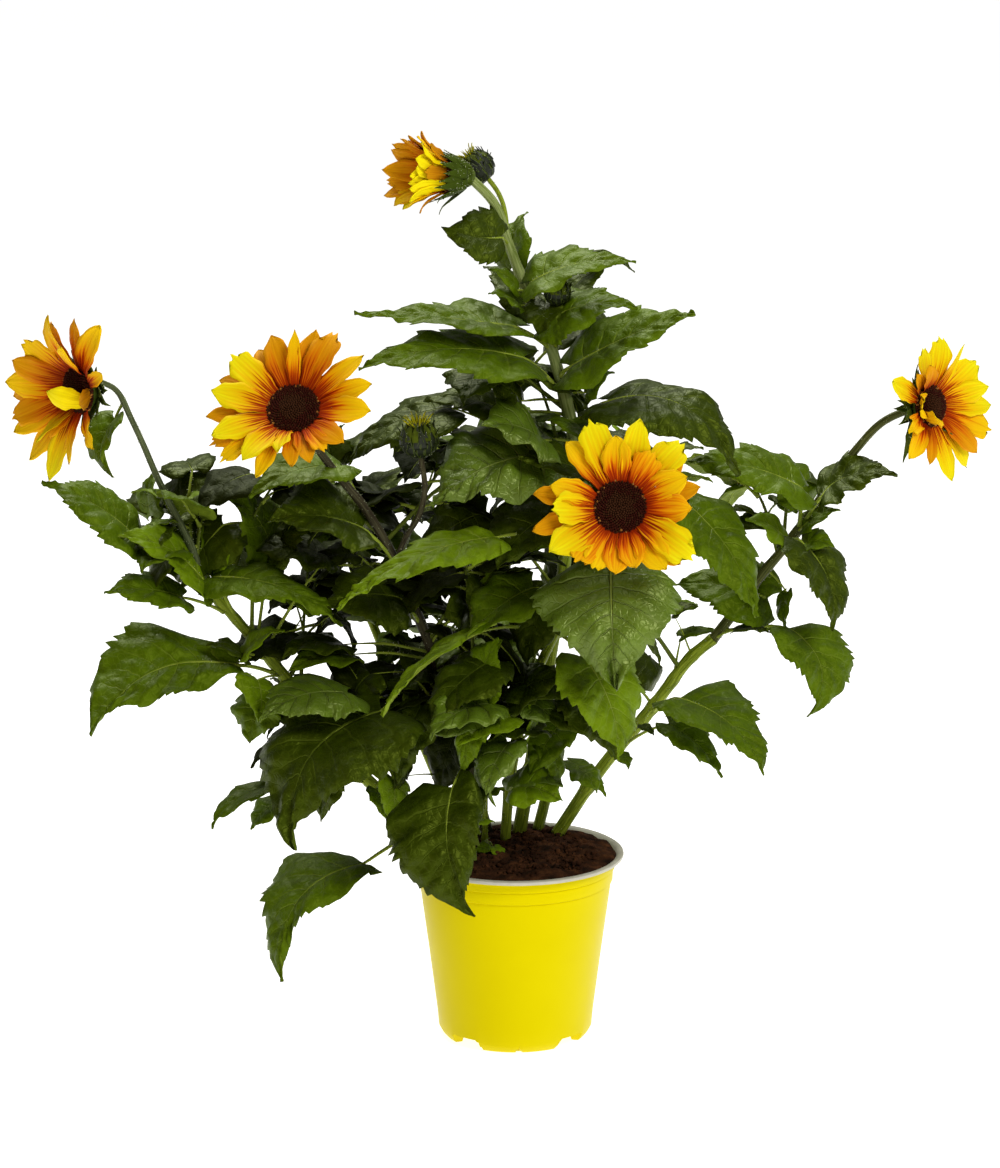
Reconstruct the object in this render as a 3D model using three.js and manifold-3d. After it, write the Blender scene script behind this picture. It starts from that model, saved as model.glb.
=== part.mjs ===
// A branching sunflower plant in a plant pot. Millimetres, +Z up, +X to the plant's right, +Y to its back.
// The origin is the middle of the pot's flat underside.
import * as THREE from "three";
import { mergeVertices } from "three/addons/utils/BufferGeometryUtils.js";
import Module from "manifold-3d";

const wasm = await Module();
wasm.setup();

const gap = 0.3; // left between pieces that touch
const soilTop = 147; // the soil lies almost level with the rim

const pot = {
  height: 148, // to the top of the rim
  wallTop: 142, // the wall ends under the rim's lip
  footRadius: 51, // the flat underside
  lowRadius: 58.6, // outside, just over the feet
  highRadius: 78.3, // outside, under the lip
  rimRadius: 85,
  wall: 1.5,
  floor: 2.5,
  skirt: 10, // height of the solid foot ring
  stepHeights: [126, 136], // two fine steps round the wall
  step: 0.6,
  segments: 30,
};
const feet = { count: 4, turn: 48, gapDegrees: 28, gapHeight: 9, gapDepth: 9, nick: 5, nickDepth: 4 };

// Each stem: the points that its axis runs through, and its radius at the foot and at the top.
const stems = {
  stem_right: {
    through: [[33, 47, 147.6], [67, 42, 202], [104, 38, 249], [140, 33, 299], [155, 30, 312]],
    radius: [5.2, 4.4],
  },
  stem_centre: {
    through: [[3, 50, 147.6], [13, 42, 210], [23, 36, 269], [33, 28, 335], [44, 15, 426]],
    radius: [5.6, 4.6],
  },
  stem_left: {
    through: [[-30, 42, 147.6], [-91, 30, 177], [-133, 15, 219], [-180, 0, 290], [-239, -15, 366]],
    radius: [5, 3.8],
  },
  stem_middle: {
    through: [[-22, 52, 147.6], [-52, 32, 263], [-81, 5, 350], [-104, -10, 407], [-151, -40, 478]],
    radius: [4.8, 2.8],
  },
  stem_front: {
    through: [[-8, 30, 147.6], [-4, 25, 198], [11, 10, 276], [36, -22, 339], [62, -66, 410]],
    radius: [4.2, 3],
  },
  stem_slender: {
    through: [[-24, 22, 147.6], [-24, 14, 190], [-26, -2, 240], [-32, -18, 285]],
    radius: [2.4, 1.8],
  },
  stem_back_left: {
    through: [[-44, 58, 147.6], [-88, 96, 245], [-128, 142, 335], [-150, 178, 420]],
    radius: [4.2, 2.8],
  },
  stem_back_right: {
    through: [[18, 58, 147.6], [44, 100, 240], [74, 146, 330], [96, 180, 415]],
    radius: [4.4, 2.8],
  },
};

// Upper lengths of the stems that bend, each going on from the end of the stem named.
const upperStems = {
  stem_right_upper: {
    after: "stem_right",
    through: [[169, 28, 331], [193, 22, 367], [220, 15, 403], [247, 5, 448], [278, -12, 491]],
    radius: [4.2, 2.8],
  },
  stem_centre_upper: {
    after: "stem_centre",
    through: [[46, 12, 482], [36, 10, 507], [30, 8, 543], [9, 5, 592], [-8, 0, 636]],
    radius: [4.4, 2.8],
  },
  stem_left_upper: {
    after: "stem_left",
    through: [[-250, -18, 398], [-273, -22, 449], [-293, -28, 499]],
    radius: [3.4, 2.4],
  },
};

// Each bloom: the stem that bears it, the middle of its disc, the way it faces as heading and rise,
// the reach of its rays, how many there are, and how far they sweep forward. A closed one has its own disc.
const blooms = {
  bloom_top: {
    on: "stem_centre_upper", at: [-52, -8, 684], facing: [-172, 4], reach: 56, rays: 16, sweep: 48, disc: 15,
  },
  bloom_left: {
    on: "stem_left_upper", at: [-332, -45, 530], facing: [-140, -4], reach: 68, rays: 16, sweep: 20,
  },
  bloom_middle: {
    on: "stem_middle", at: [-168, -62, 514], facing: [-98, 38], reach: 65, rays: 17, sweep: 14,
  },
  bloom_front: {
    on: "stem_front", at: [78, -110, 449], facing: [-91, 23], reach: 67, rays: 18, sweep: 10,
  },
  bloom_right: {
    on: "stem_right_upper", at: [316, -30, 510], facing: [-48, 12], reach: 58, rays: 16, sweep: 13,
  },
};
// Shared by all blooms: the disc and its dome, the green cup behind it, the notch between two rays.
const head = { disc: 20, dome: 6, back: 16, cup: 15, cupBack: 9, notch: 0.72, neck: 10 };

// Each bud with its stalk: the stem it leaves, how far along, the points through which the stalk runs,
// the radius of the stalk, the bud's top, and the radius and height of the bud.
const buds = {
  bud_left: {
    on: "stem_middle", at: 0.62, through: [[-80, -30, 416], [-68, -36, 436], [-71, -40, 456]],
    stalk: 2.2, top: [-75, -46, 506], radius: 15.5, height: 34,
  },
  bud_top: {
    on: "stem_centre_upper", at: 0.76, through: [[-9, 12, 656], [-17, 20, 672]],
    stalk: 1.9, top: [-38, 24, 694], radius: 11, height: 26,
  },
  bud_high: {
    on: "stem_centre_upper", at: 0.42, through: [[31, -8, 572]],
    stalk: 2, top: [32, -14, 606], radius: 9.5, height: 22,
  },
  bud_back: {
    on: "stem_back_right", at: 0.97, through: [[106, 192, 440]],
    stalk: 2, top: [114, 202, 480], radius: 12, height: 26,
  },
};

// Each leaf, under the stem that bears it: how far along the leaf stalk leaves, the stalk's heading,
// rise and length, the blade's heading, rise, length and width, the arch of its midrib and its roll.
const leaves = {
  stem_centre_upper: {
    leaf_top_left: { at: 0.76, stalk: [-110, 25, 12], blade: [-166, 12, 48, 40], arch: 0.08, roll: -50 },
    leaf_top_right: { at: 0.57, stalk: [-98, 50, 21], blade: [-7, 12, 82, 58], arch: 0.1, roll: 15 },
    leaf_right_high: { at: 0.36, stalk: [-68, 27, 20], blade: [-22, 26, 112, 76], arch: 0.04, roll: 25 },
    leaf_left_high: { at: 0.44, stalk: [-147, 30, 35], blade: [-167, 7, 124, 60], arch: 0.05, roll: -10 },
    leaf_left_second: { at: 0.32, stalk: [-128, 35, 50], blade: [-160, 0, 130, 68], arch: 0.06, roll: -10 },
    leaf_shoulder: { at: 0.22, stalk: [-50, 30, 42], blade: [-22, -26, 117, 90], arch: 0.2, roll: 10 },
    leaf_bud_left: { at: 0.09, stalk: [-179, 27, 102], blade: [178, -27, 94, 70], arch: 0.1, roll: -20 },
    leaf_beside_bloom: { at: 0.14, stalk: [-34, -16, 102], blade: [-29, -52, 102, 80], arch: 0.1, roll: -15 },
  },
  stem_centre: {
    leaf_light_long: { at: 0.88, stalk: [-121, 13, 102], blade: [-153, -16, 140, 70], arch: 0.08, roll: -10 },
    leaf_front_long: { at: 0.61, stalk: [-123, 12, 103], blade: [-147, -28, 105, 58], arch: 0.05, roll: 10 },
  },
  stem_front: {
    leaf_below_bloom: { at: 0.61, stalk: [-56, 41, 66], blade: [-86, -60, 100, 112], arch: 0.12, roll: 10 },
  },
  stem_right_upper: {
    leaf_arm_inner: { at: 0.44, stalk: [-91, 55, 39], blade: [-166, 15, 98, 68], arch: 0.08, roll: -15 },
    leaf_arm_outer: { at: 0.47, stalk: [-72, 38, 36], blade: [-26, 22, 66, 50], arch: 0.12, roll: 15 },
    leaf_arm_drop: { at: 0.4, stalk: [-76, 8, 17], blade: [-52, -59, 75, 60], arch: 0.12, roll: -20 },
    leaf_far_drop: { at: 0.03, stalk: [-24, 8, 51], blade: [-63, -62, 73, 70], arch: 0.12, roll: -10 },
  },
  stem_right: {
    leaf_low_right: { at: 0.62, stalk: [-57, 25, 35], blade: [-36, -33, 92, 74], arch: 0.1, roll: 0 },
  },
  stem_left: {
    leaf_far_left: { at: 0.95, stalk: [-166, 40, 64], blade: [-164, 33, 86, 68], arch: 0.08, roll: -30 },
    leaf_low_left: { at: 0.9, stalk: [-146, 24, 36], blade: [-153, 10, 66, 52], arch: 0.08, roll: -25 },
    leaf_left_sweep: { at: 0.69, stalk: [-149, 19, 31], blade: [-161, -15, 130, 94], arch: 0.08, roll: -35 },
    leaf_hanging: { at: 0.11, stalk: [-138, -14, 70], blade: [-141, -45, 114, 78], arch: 0.2, roll: 5 },
  },
  stem_middle: {
    leaf_dark_fold: { at: 0.41, stalk: [-117, -20, 80], blade: [-136, -42, 136, 108], arch: 0.16, roll: -10 },
  },
  stem_slender: {
    leaf_over_pot: { at: 0.62, stalk: [-111, -15, 64], blade: [-70, -62, 104, 96], arch: 0.12, roll: 10 },
  },
};
const blade = { thick: 1.2, fold: 16, stalkRadius: 1.6 }; // shared by all leaves
const skin = { stations: 9, limbSides: 6, budSides: 8 }; // how finely limbs and buds are faceted

// Each mass of smaller foliage: its middle, its half sizes along, across and up, its heading and seed.
const masses = {
  mass_neck: { at: [22, 24, 594], half: [34, 17, 24], heading: 20, seed: 1 },
  mass_high: { at: [-8, 34, 520], half: [44, 18, 34], heading: 160, seed: 2 },
  mass_middle_high: { at: [-38, 30, 448], half: [56, 20, 32], heading: 10, seed: 3 },
  mass_left_shoulder: { at: [-172, 20, 425], half: [52, 18, 30], heading: -10, seed: 4 },
  mass_left_arm: { at: [-258, 8, 412], half: [42, 16, 30], heading: 20, seed: 5 },
  mass_left_inner: { at: [-140, 30, 352], half: [48, 20, 36], heading: 5, seed: 6 },
  mass_middle: { at: [-35, -20, 370], half: [50, 18, 38], heading: -10, seed: 7 },
  mass_left_low: { at: [-130, -12, 262], half: [50, 18, 34], heading: 25, seed: 8 },
  mass_middle_low: { at: [-48, -14, 268], half: [48, 18, 36], heading: -5, seed: 9 },
  mass_right_low: { at: [82, -8, 330], half: [40, 16, 38], heading: 15, seed: 10 },
  mass_right_arm: { at: [195, 42, 432], half: [48, 15, 26], heading: -20, seed: 11 },
  mass_back_high: { at: [-15, 98, 450], half: [60, 24, 38], heading: 0, seed: 12 },
  mass_back_left: { at: [-138, 158, 380], half: [68, 26, 44], heading: -25, seed: 13 },
  mass_back_right: { at: [84, 156, 388], half: [56, 24, 40], heading: 25, seed: 14 },
  mass_back_low: { at: [-50, 112, 290], half: [60, 20, 36], heading: -10, seed: 15 },
};
const lump = { detail: 2, uneven: 0.22 };

const finish = (colour, roughness) =>
  new THREE.MeshStandardMaterial({ color: colour, roughness, metalness: 0, side: THREE.DoubleSide });
const materials = {
  pot: finish("#f0dc10", 0.35),
  rim: finish("#9a9a97", 0.45),
  soil: finish("#2a160e", 1),
  stem: finish("#7f9a3c", 0.6),
  purple: finish("#4a2f33", 0.6),
  leaf: finish("#3f5e17", 0.5),
  lightLeaf: finish("#6d9a35", 0.5),
  foliage: finish("#31480f", 0.6),
  rays: finish("#f2b705", 0.6),
  bud: finish("#3c4a18", 0.6),
};

const plant = new THREE.Group();
const up = new THREE.Vector3(0, 0, 1);
const back = new THREE.Vector3(0, 1, 0);
const vector = (p) => new THREE.Vector3(...p);
const radians = THREE.MathUtils.degToRad;

// A unit vector from its heading (0 along +X, 90 along +Y) and its rise over the level.
function direction(headingDegrees, riseDegrees) {
  const h = radians(headingDegrees);
  const r = radians(riseDegrees);
  return new THREE.Vector3(Math.cos(h) * Math.cos(r), Math.sin(h) * Math.cos(r), Math.sin(r));
}

// The side of something that points along d, level where it can be, so that side x normal = d.
function levelSide(d) {
  const flat = new THREE.Vector3(d.x, d.y, 0);
  if (flat.length() < 0.02) {
    flat.set(0, -1, 0);
  }
  flat.normalize();
  return new THREE.Vector3(-flat.y, flat.x, 0);
}

// A closed skin over rings of equal count, with a pole at each end.
function loft(rings, foot, tip) {
  const count = rings[0].length;
  const points = [foot, ...rings.flat(), tip];
  const faces = [];
  const vertex = (ring, k) => 1 + ring * count + (k % count);
  const last = rings.length - 1;
  for (let k = 0; k < count; k += 1) {
    faces.push(0, vertex(0, k + 1), vertex(0, k));
    for (let ring = 0; ring < last; ring += 1) {
      faces.push(vertex(ring, k), vertex(ring, k + 1), vertex(ring + 1, k));
      faces.push(vertex(ring, k + 1), vertex(ring + 1, k + 1), vertex(ring + 1, k));
    }
    faces.push(points.length - 1, vertex(last, k), vertex(last, k + 1));
  }
  const geometry = new THREE.BufferGeometry().setFromPoints(points);
  geometry.setIndex(faces);
  return geometry;
}

// A ring of points round a centre, in the plane across d, from the side that is given.
function ringAt(centre, d, radius, sides, from) {
  const side = from.clone().addScaledVector(d, -from.dot(d)).normalize();
  const normal = new THREE.Vector3().crossVectors(d, side).normalize();
  return Array.from({ length: sides }, (_, k) => {
    const angle = (2 * Math.PI * k) / sides;
    return centre.clone()
      .addScaledVector(side, radius * Math.cos(angle))
      .addScaledVector(normal, radius * Math.sin(angle));
  });
}

// A tapering limb along a curve, cut off at its foot across the way given.
function limb({ curve, radius, footAcross }, grow = 0) {
  const rings = [];
  for (let i = 0; i < skin.stations; i += 1) {
    const u = i / (skin.stations - 1);
    const across = i === 0 ? footAcross : curve.getTangentAt(u);
    const size = THREE.MathUtils.lerp(...radius, u) + grow;
    rings.push(ringAt(curve.getPointAt(u), across, size, skin.limbSides, back));
  }
  return loft(rings, curve.getPointAt(0), curve.getPointAt(1));
}

// Where a side limb of the given radius starts, clear of the skin of the stem that bears it.
function leave(stem, at, d, radius) {
  const axis = stem.curve.getTangentAt(at);
  const lean = Math.max(Math.sin(axis.angleTo(d)), 0.3);
  const clear = THREE.MathUtils.lerp(...stem.radius, at) * 1.04 + gap;
  const reach = (clear + radius * Math.abs(axis.dot(d))) / lean;
  return stem.curve.getPointAt(at).addScaledVector(d, reach);
}

// A bud on its stalk, as one limb that swells at the end.
function budOnStalk(spec, grow = 0) {
  const stem = grown[spec.on];
  const top = vector(spec.top);
  const first = vector(spec.through[0]);
  const away = first.clone().sub(stem.curve.getPointAt(spec.at)).normalize();
  const foot = leave(stem, spec.at, away, spec.stalk);
  const lastStalk = vector(spec.through.at(-1));
  const facing = top.clone().sub(lastStalk).normalize();
  const neck = top.clone().addScaledVector(facing, -spec.height);
  const stalk = new THREE.CatmullRomCurve3([foot, ...spec.through.map(vector), neck]);
  const rings = [0, 0.25, 0.5, 0.75, 1].map((u) =>
    ringAt(stalk.getPointAt(u), stalk.getTangentAt(u), spec.stalk + grow, skin.budSides, back));
  for (const [height, width] of [[0.1, 0.7], [0.35, 1], [0.65, 0.92], [0.9, 0.5]]) {
    const centre = neck.clone().addScaledVector(facing, height * spec.height);
    rings.push(ringAt(centre, facing, spec.radius * width + grow, skin.budSides, back));
  }
  return loft(rings, foot, top.clone().addScaledVector(facing, grow));
}

// The half width of a leaf blade at u along it: broad and rounded at its base, drawn out at its tip.
const outline = (u) => (u ** 0.42 * (1 - u) ** 0.95) / 0.43;

// A leaf: its stalk, then its blade, folded up along the midrib and arched, as one thin solid.
function leafSolid(spec, grow = 0) {
  const stem = grown[spec.on];
  const stalkWay = direction(spec.stalk[0], spec.stalk[1]);
  const bladeWay = direction(spec.blade[0], spec.blade[1]);
  const foot = leave(stem, spec.at, stalkWay, blade.stalkRadius);
  const base = foot.clone().addScaledVector(stalkWay, spec.stalk[2]);
  const [, , length, fullWidth] = spec.blade;
  const flatSide = levelSide(bladeWay).applyAxisAngle(bladeWay, radians(spec.roll));
  const lift = new THREE.Vector3().crossVectors(bladeWay, flatSide).normalize();
  const along = (u) => base.clone()
    .addScaledVector(bladeWay, length * u)
    .addScaledVector(lift, 4 * u * (1 - u) * spec.arch * length);
  const stalk = new THREE.CatmullRomCurve3([
    foot,
    foot.clone().lerp(base, 0.5).addScaledVector(up, spec.stalk[2] * 0.04),
    base,
    along(0.1),
  ]);
  const section = (centre, d, halfWidth, halfThick, fold) => {
    const side = flatSide.clone().addScaledVector(d, -flatSide.dot(d)).normalize();
    const normal = new THREE.Vector3().crossVectors(d, side).normalize();
    const at = (s, n) => centre.clone().addScaledVector(side, s).addScaledVector(normal, n);
    return [at(halfWidth, fold), at(0, halfThick), at(-halfWidth, fold), at(0, -halfThick)];
  };
  const rings = [0, 0.3, 0.6].map((u) => {
    const radius = blade.stalkRadius + grow;
    return section(stalk.getPointAt(u), stalk.getTangentAt(u), radius, radius, 0);
  });
  for (const u of [0.02, 0.12, 0.26, 0.42, 0.58, 0.74, 0.89]) {
    const d = along(u + 0.02).sub(along(u - 0.02)).normalize();
    const width = (fullWidth / 2) * outline(u) + 4 * grow;
    const fold = width * Math.tan(radians(blade.fold));
    rings.push(section(along(u), d, width, blade.thick / 2 + grow, fold));
  }
  return loft(rings, foot, along(1 + 0.02 * grow));
}

// A bloom as one solid: the green cup, the swept rays as a star with a notch between each two, the disc.
function bloomSolid(spec, grow = 0) {
  const facing = direction(...spec.facing);
  const centre = vector(spec.at);
  const disc = spec.disc ?? head.disc;
  const side = levelSide(facing);
  const normal = new THREE.Vector3().crossVectors(facing, side).normalize();
  const ring = (radiusAt, offsetAt) => Array.from({ length: spec.rays * 2 }, (_, k) => {
    const angle = (Math.PI * k) / spec.rays;
    return centre.clone()
      .addScaledVector(side, radiusAt(k) * Math.cos(angle))
      .addScaledVector(normal, radiusAt(k) * Math.sin(angle))
      .addScaledVector(facing, offsetAt(k));
  });
  const sweep = radians(spec.sweep);
  const reach = (k) => spec.reach * (k % 2 ? head.notch : 1) + grow;
  const rings = [
    ring(() => head.cup + grow, () => -head.cupBack - grow),
    ring((k) => Math.max(reach(k) * Math.cos(sweep), disc + 1), (k) => reach(k) * Math.sin(sweep)),
    ring(() => disc - 1, () => 2 + grow),
  ];
  const back = centre.clone().addScaledVector(facing, -head.back - grow);
  return loft(rings, back, centre.clone().addScaledVector(facing, head.dome + grow));
}

// An uneven closed lump of foliage.
function massSolid(spec, grow = 0) {
  const sphere = new THREE.IcosahedronGeometry(1, lump.detail);
  sphere.deleteAttribute("normal");
  sphere.deleteAttribute("uv");
  const geometry = mergeVertices(sphere, 1e-4);
  const turn = radians(spec.heading);
  const place = geometry.attributes.position;
  for (let i = 0; i < place.count; i += 1) {
    const p = new THREE.Vector3().fromBufferAttribute(place, i).normalize();
    const wave = Math.sin(3.1 * p.x + 1.7 * spec.seed) + Math.sin(4.3 * p.y + 2.9 * spec.seed)
      + Math.sin(3.7 * p.z + 4.1 * spec.seed) + Math.sin(5.3 * (p.x + p.z) + spec.seed);
    const swell = 1 + (lump.uneven * wave) / 4;
    const size = vector(spec.half).multiplyScalar(swell).addScalar(grow);
    p.multiply(size).applyAxisAngle(up, turn).add(vector(spec.at));
    place.setXYZ(i, p.x, p.y, p.z);
  }
  return geometry;
}

// Geometry with only merged positions, as a solid to cut with, and back.
function toSolid(geometry) {
  const plain = new THREE.BufferGeometry();
  plain.setAttribute("position", geometry.attributes.position.clone());
  plain.setIndex(geometry.index);
  const merged = mergeVertices(plain, 1e-4);
  const mesh = new wasm.Mesh({
    numProp: 3,
    vertProperties: new Float32Array(merged.attributes.position.array),
    triVerts: new Uint32Array(merged.index.array),
  });
  return new wasm.Manifold(mesh);
}

function toGeometry(solid) {
  const mesh = solid.getMesh();
  const geometry = new THREE.BufferGeometry();
  geometry.setAttribute("position", new THREE.BufferAttribute(mesh.vertProperties, mesh.numProp));
  geometry.setIndex(new THREE.BufferAttribute(mesh.triVerts, 1));
  return geometry;
}

function add(name, geometry, material) {
  geometry.computeVertexNormals();
  const mesh = new THREE.Mesh(geometry, material);
  mesh.name = name;
  plant.add(mesh);
}

// The pot: a tapering wall with two fine steps, on a foot ring with drain gaps between its feet.
function potWall() {
  const slopeTop = pot.highRadius - 2 * pot.step;
  const slope = (z) => THREE.MathUtils.mapLinear(z, feet.gapHeight, pot.wallTop, pot.lowRadius, slopeTop);
  const [lowStep, highStep] = pot.stepHeights;
  const profile = [
    [0, 0],
    [pot.footRadius, 0],
    [pot.footRadius + 4, 1.2],
    [pot.lowRadius, feet.gapHeight],
    [slope(lowStep), lowStep],
    [slope(lowStep) + pot.step, lowStep + pot.step],
    [slope(highStep) + pot.step, highStep],
    [slope(highStep) + 2 * pot.step, highStep + pot.step],
    [pot.highRadius, pot.wallTop],
    [pot.highRadius - pot.wall, pot.wallTop],
    [slope(highStep) - pot.wall, highStep],
    [slope(lowStep) - pot.wall, lowStep],
    [pot.lowRadius - pot.wall, pot.skirt],
    [pot.footRadius - 7, pot.skirt],
    [pot.footRadius - 11, pot.floor],
    [0, pot.floor],
  ].map(([r, z]) => new THREE.Vector2(r, z));
  let solid = toSolid(new THREE.LatheGeometry(profile, pot.segments).rotateX(Math.PI / 2));
  for (let k = 0; k < feet.count; k += 1) {
    const turn = feet.turn + (360 / feet.count) * k;
    const half = pot.lowRadius * Math.tan(radians(feet.gapDegrees / 2));
    const shoulder = feet.gapHeight - 2;
    const arch = footCut([[-half, -1], [half, -1], [half - 3, shoulder], [half - 6, feet.gapHeight],
      [6 - half, feet.gapHeight], [3 - half, shoulder]], feet.gapDepth, turn);
    const nick = footCut([[-3, -1], [3, -1], [0, feet.nick]], feet.nickDepth, turn + 45);
    solid = solid.subtract(arch).subtract(nick);
  }
  return toGeometry(solid);
}

// A cutter for the pot's foot: an upright outline driven in from outside.
function footCut(corners, depth, turnDegrees) {
  const shape = new THREE.Shape(corners.map((p) => new THREE.Vector2(...p)));
  const cutter = new THREE.ExtrudeGeometry(shape, { depth: 20, bevelEnabled: false });
  cutter.rotateX(Math.PI / 2).rotateZ(Math.PI / 2);
  cutter.translate(pot.lowRadius - depth, 0, 0).rotateZ(radians(turnDegrees));
  return toSolid(cutter);
}

// The grey rim: an inner skirt in the mouth of the wall and a rolled lip over it.
function potRim() {
  const lipFoot = pot.wallTop + 0.9;
  const skirtFoot = pot.wallTop - 5;
  const inner = pot.highRadius - pot.wall - gap;
  const profile = [
    [inner - 3, skirtFoot],
    [inner - 2, skirtFoot],
    [inner, pot.wallTop + gap],
    [inner + 3.5, lipFoot],
    [pot.rimRadius - 0.6, lipFoot],
    [pot.rimRadius, lipFoot + 1.6],
    [pot.rimRadius - 0.4, pot.height - 0.8],
    [pot.rimRadius - 1.6, pot.height],
    [inner + 3.3, pot.height],
    [inner + 0.8, pot.height - 1.8],
    [inner - 3, skirtFoot],
  ].map(([r, z]) => new THREE.Vector2(r, z));
  return new THREE.LatheGeometry(profile, pot.segments).rotateX(Math.PI / 2);
}

// The soil fills the pot and slopes down to the wall at its edge.
function soilFill() {
  const profile = [
    [0, pot.floor + gap],
    [pot.footRadius - 11.4, pot.floor + gap],
    [pot.footRadius - 7.3, pot.skirt + gap],
    [pot.lowRadius - pot.wall - 0.4, pot.skirt + gap],
    [72.8, 126],
    [73, 138],
    [74, 141],
    [70, 144.5],
    [62, soilTop],
    [0, soilTop],
  ].map(([r, z]) => new THREE.Vector2(r, z));
  return new THREE.LatheGeometry(profile, pot.segments).rotateX(Math.PI / 2);
}

const clean = (geometry) => toGeometry(toSolid(geometry));
add("pot", potWall(), materials.pot);
add("pot_rim", clean(potRim()), materials.rim);
add("soil", clean(soilFill()), materials.soil);

const grown = {}; // each stem's curve and radii, for what grows on it
const cutters = []; // everything that the masses are cut round
const purpleStems = ["stem_middle", "stem_left_upper"];
const lightLeaves = ["leaf_light_long", "leaf_front_long", "leaf_left_sweep"];

for (const [name, spec] of Object.entries(stems)) {
  grown[name] = { ...spec, points: spec.through.map(vector), footAcross: up };
}
for (const [name, spec] of Object.entries(upperStems)) {
  const below = new THREE.CatmullRomCurve3(grown[spec.after].points);
  const footAcross = below.getTangentAt(1);
  const start = below.getPointAt(1).addScaledVector(footAcross, gap);
  grown[name] = { ...spec, points: [start, ...spec.through.map(vector)], footAcross };
}
// A stem that bears a bloom ends square to the back of its cup.
for (const spec of Object.values(blooms)) {
  const facing = direction(...spec.facing);
  const end = vector(spec.at).addScaledVector(facing, -head.back - gap);
  grown[spec.on].points.push(end.clone().addScaledVector(facing, -head.neck), end);
}
for (const [name, spec] of Object.entries(grown)) {
  spec.curve = new THREE.CatmullRomCurve3(spec.points);
  add(name, limb(spec), purpleStems.includes(name) ? materials.purple : materials.stem);
  cutters.push(limb(spec, gap));
}
for (const [name, spec] of Object.entries(blooms)) {
  add(name, bloomSolid(spec), materials.rays);
  cutters.push(bloomSolid(spec, gap));
}
for (const [name, spec] of Object.entries(buds)) {
  add(name, budOnStalk(spec), materials.bud);
  cutters.push(budOnStalk(spec, gap));
}
for (const [on, borne] of Object.entries(leaves)) {
  for (const [name, spec] of Object.entries(borne)) {
    add(name, leafSolid({ ...spec, on }), lightLeaves.includes(name) ? materials.lightLeaf : materials.leaf);
    cutters.push(leafSolid({ ...spec, on }, gap));
  }
}

// Each mass is cut round the limbs, the leaves and the masses before it, and keeps its largest part.
const solids = cutters.map(toSolid);
for (const [name, spec] of Object.entries(masses)) {
  let solid = toSolid(massSolid(spec));
  for (const cutter of solids) {
    solid = solid.subtract(cutter);
  }
  const parts = solid.decompose().sort((a, b) => b.volume() - a.volume());
  add(name, toGeometry(parts[0]), materials.foliage);
  solids.push(toSolid(massSolid(spec, gap)));
}

export default plant;
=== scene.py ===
# A branching sunflower plant in a plant pot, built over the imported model.
# Metres, +Z up, +X to the plant's right.
import math
import random
import bpy
import numpy as np
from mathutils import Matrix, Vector, noise


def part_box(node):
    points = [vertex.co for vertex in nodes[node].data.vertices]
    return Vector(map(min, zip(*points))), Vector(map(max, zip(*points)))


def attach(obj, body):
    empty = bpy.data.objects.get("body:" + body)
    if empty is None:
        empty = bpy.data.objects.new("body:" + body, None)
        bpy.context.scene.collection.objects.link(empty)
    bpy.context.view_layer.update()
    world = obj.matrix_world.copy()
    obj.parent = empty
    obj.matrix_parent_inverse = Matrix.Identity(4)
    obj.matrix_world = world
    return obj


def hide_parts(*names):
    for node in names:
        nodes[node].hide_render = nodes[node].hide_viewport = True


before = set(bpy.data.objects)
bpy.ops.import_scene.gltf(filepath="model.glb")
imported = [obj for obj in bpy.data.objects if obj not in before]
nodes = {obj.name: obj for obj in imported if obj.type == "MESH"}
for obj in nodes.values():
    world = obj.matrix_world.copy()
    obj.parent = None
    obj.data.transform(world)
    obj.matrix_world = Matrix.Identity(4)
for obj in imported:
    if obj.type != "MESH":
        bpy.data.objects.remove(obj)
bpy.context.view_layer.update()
mm = 0.001


# Camera, floor and light

view = {"distance": 4.0, "elevation": 13.6, "aim": (-0.012, 0.0, 0.363), "lens": 159.3}
pitch = math.radians(view["elevation"])
bpy.ops.object.camera_add(
    location=(view["aim"][0],
              view["aim"][1] - view["distance"] * math.cos(pitch),
              view["aim"][2] + view["distance"] * math.sin(pitch)),
    rotation=(math.pi / 2 - pitch, 0, 0))
camera = bpy.context.object
camera.data.lens = view["lens"]
bpy.context.scene.camera = camera
bpy.context.scene.view_settings.view_transform = "Standard"  # keeps the yellows vivid


def linear(hexColour):
    channels = [int(hexColour[i:i + 2], 16) / 255 for i in (1, 3, 5)]
    return tuple(c / 12.92 if c <= 0.04045 else ((c + 0.055) / 1.055) ** 2.4 for c in channels) + (1.0,)


def addNode(tree, kind, inputs=None, output=0, **settings):  # a shader node; gives back one of its outputs
    node = tree.nodes.new("ShaderNode" + kind)
    for key, value in settings.items():
        if key == "stops":  # (place, colour) pairs of a colour ramp
            ramp = node.color_ramp
            while len(ramp.elements) < len(value):
                ramp.elements.new(1)
            for element, (place, colour) in zip(ramp.elements, value):
                element.position, element.color = place, linear(colour)
        else:
            setattr(node, key, value)
    for key, value in (inputs or {}).items():
        if isinstance(value, bpy.types.NodeSocket):
            tree.links.new(value, node.inputs[key])
        else:
            node.inputs[key].default_value = value
    return node.outputs[output]


def startMaterial(name, colour, roughness, sockets=None):
    material = bpy.data.materials.new(name)
    material.use_nodes = True
    shader = material.node_tree.nodes["Principled BSDF"]
    for key, value in {"Base Color": linear(colour), "Roughness": roughness, **(sockets or {})}.items():
        shader.inputs[key].default_value = value
    return material, material.node_tree, shader


def feed(tree, shader, sources):  # joins outputs of nodes to the shader's sockets
    for key, source in sources.items():
        tree.links.new(source, shader.inputs[key])


def finishPiece(piece, replaced):
    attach(piece, "root")
    if replaced:
        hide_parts(*replaced)
    print("made", piece.name, len(piece.data.loops) - 2 * len(piece.data.polygons), "triangles")


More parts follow.
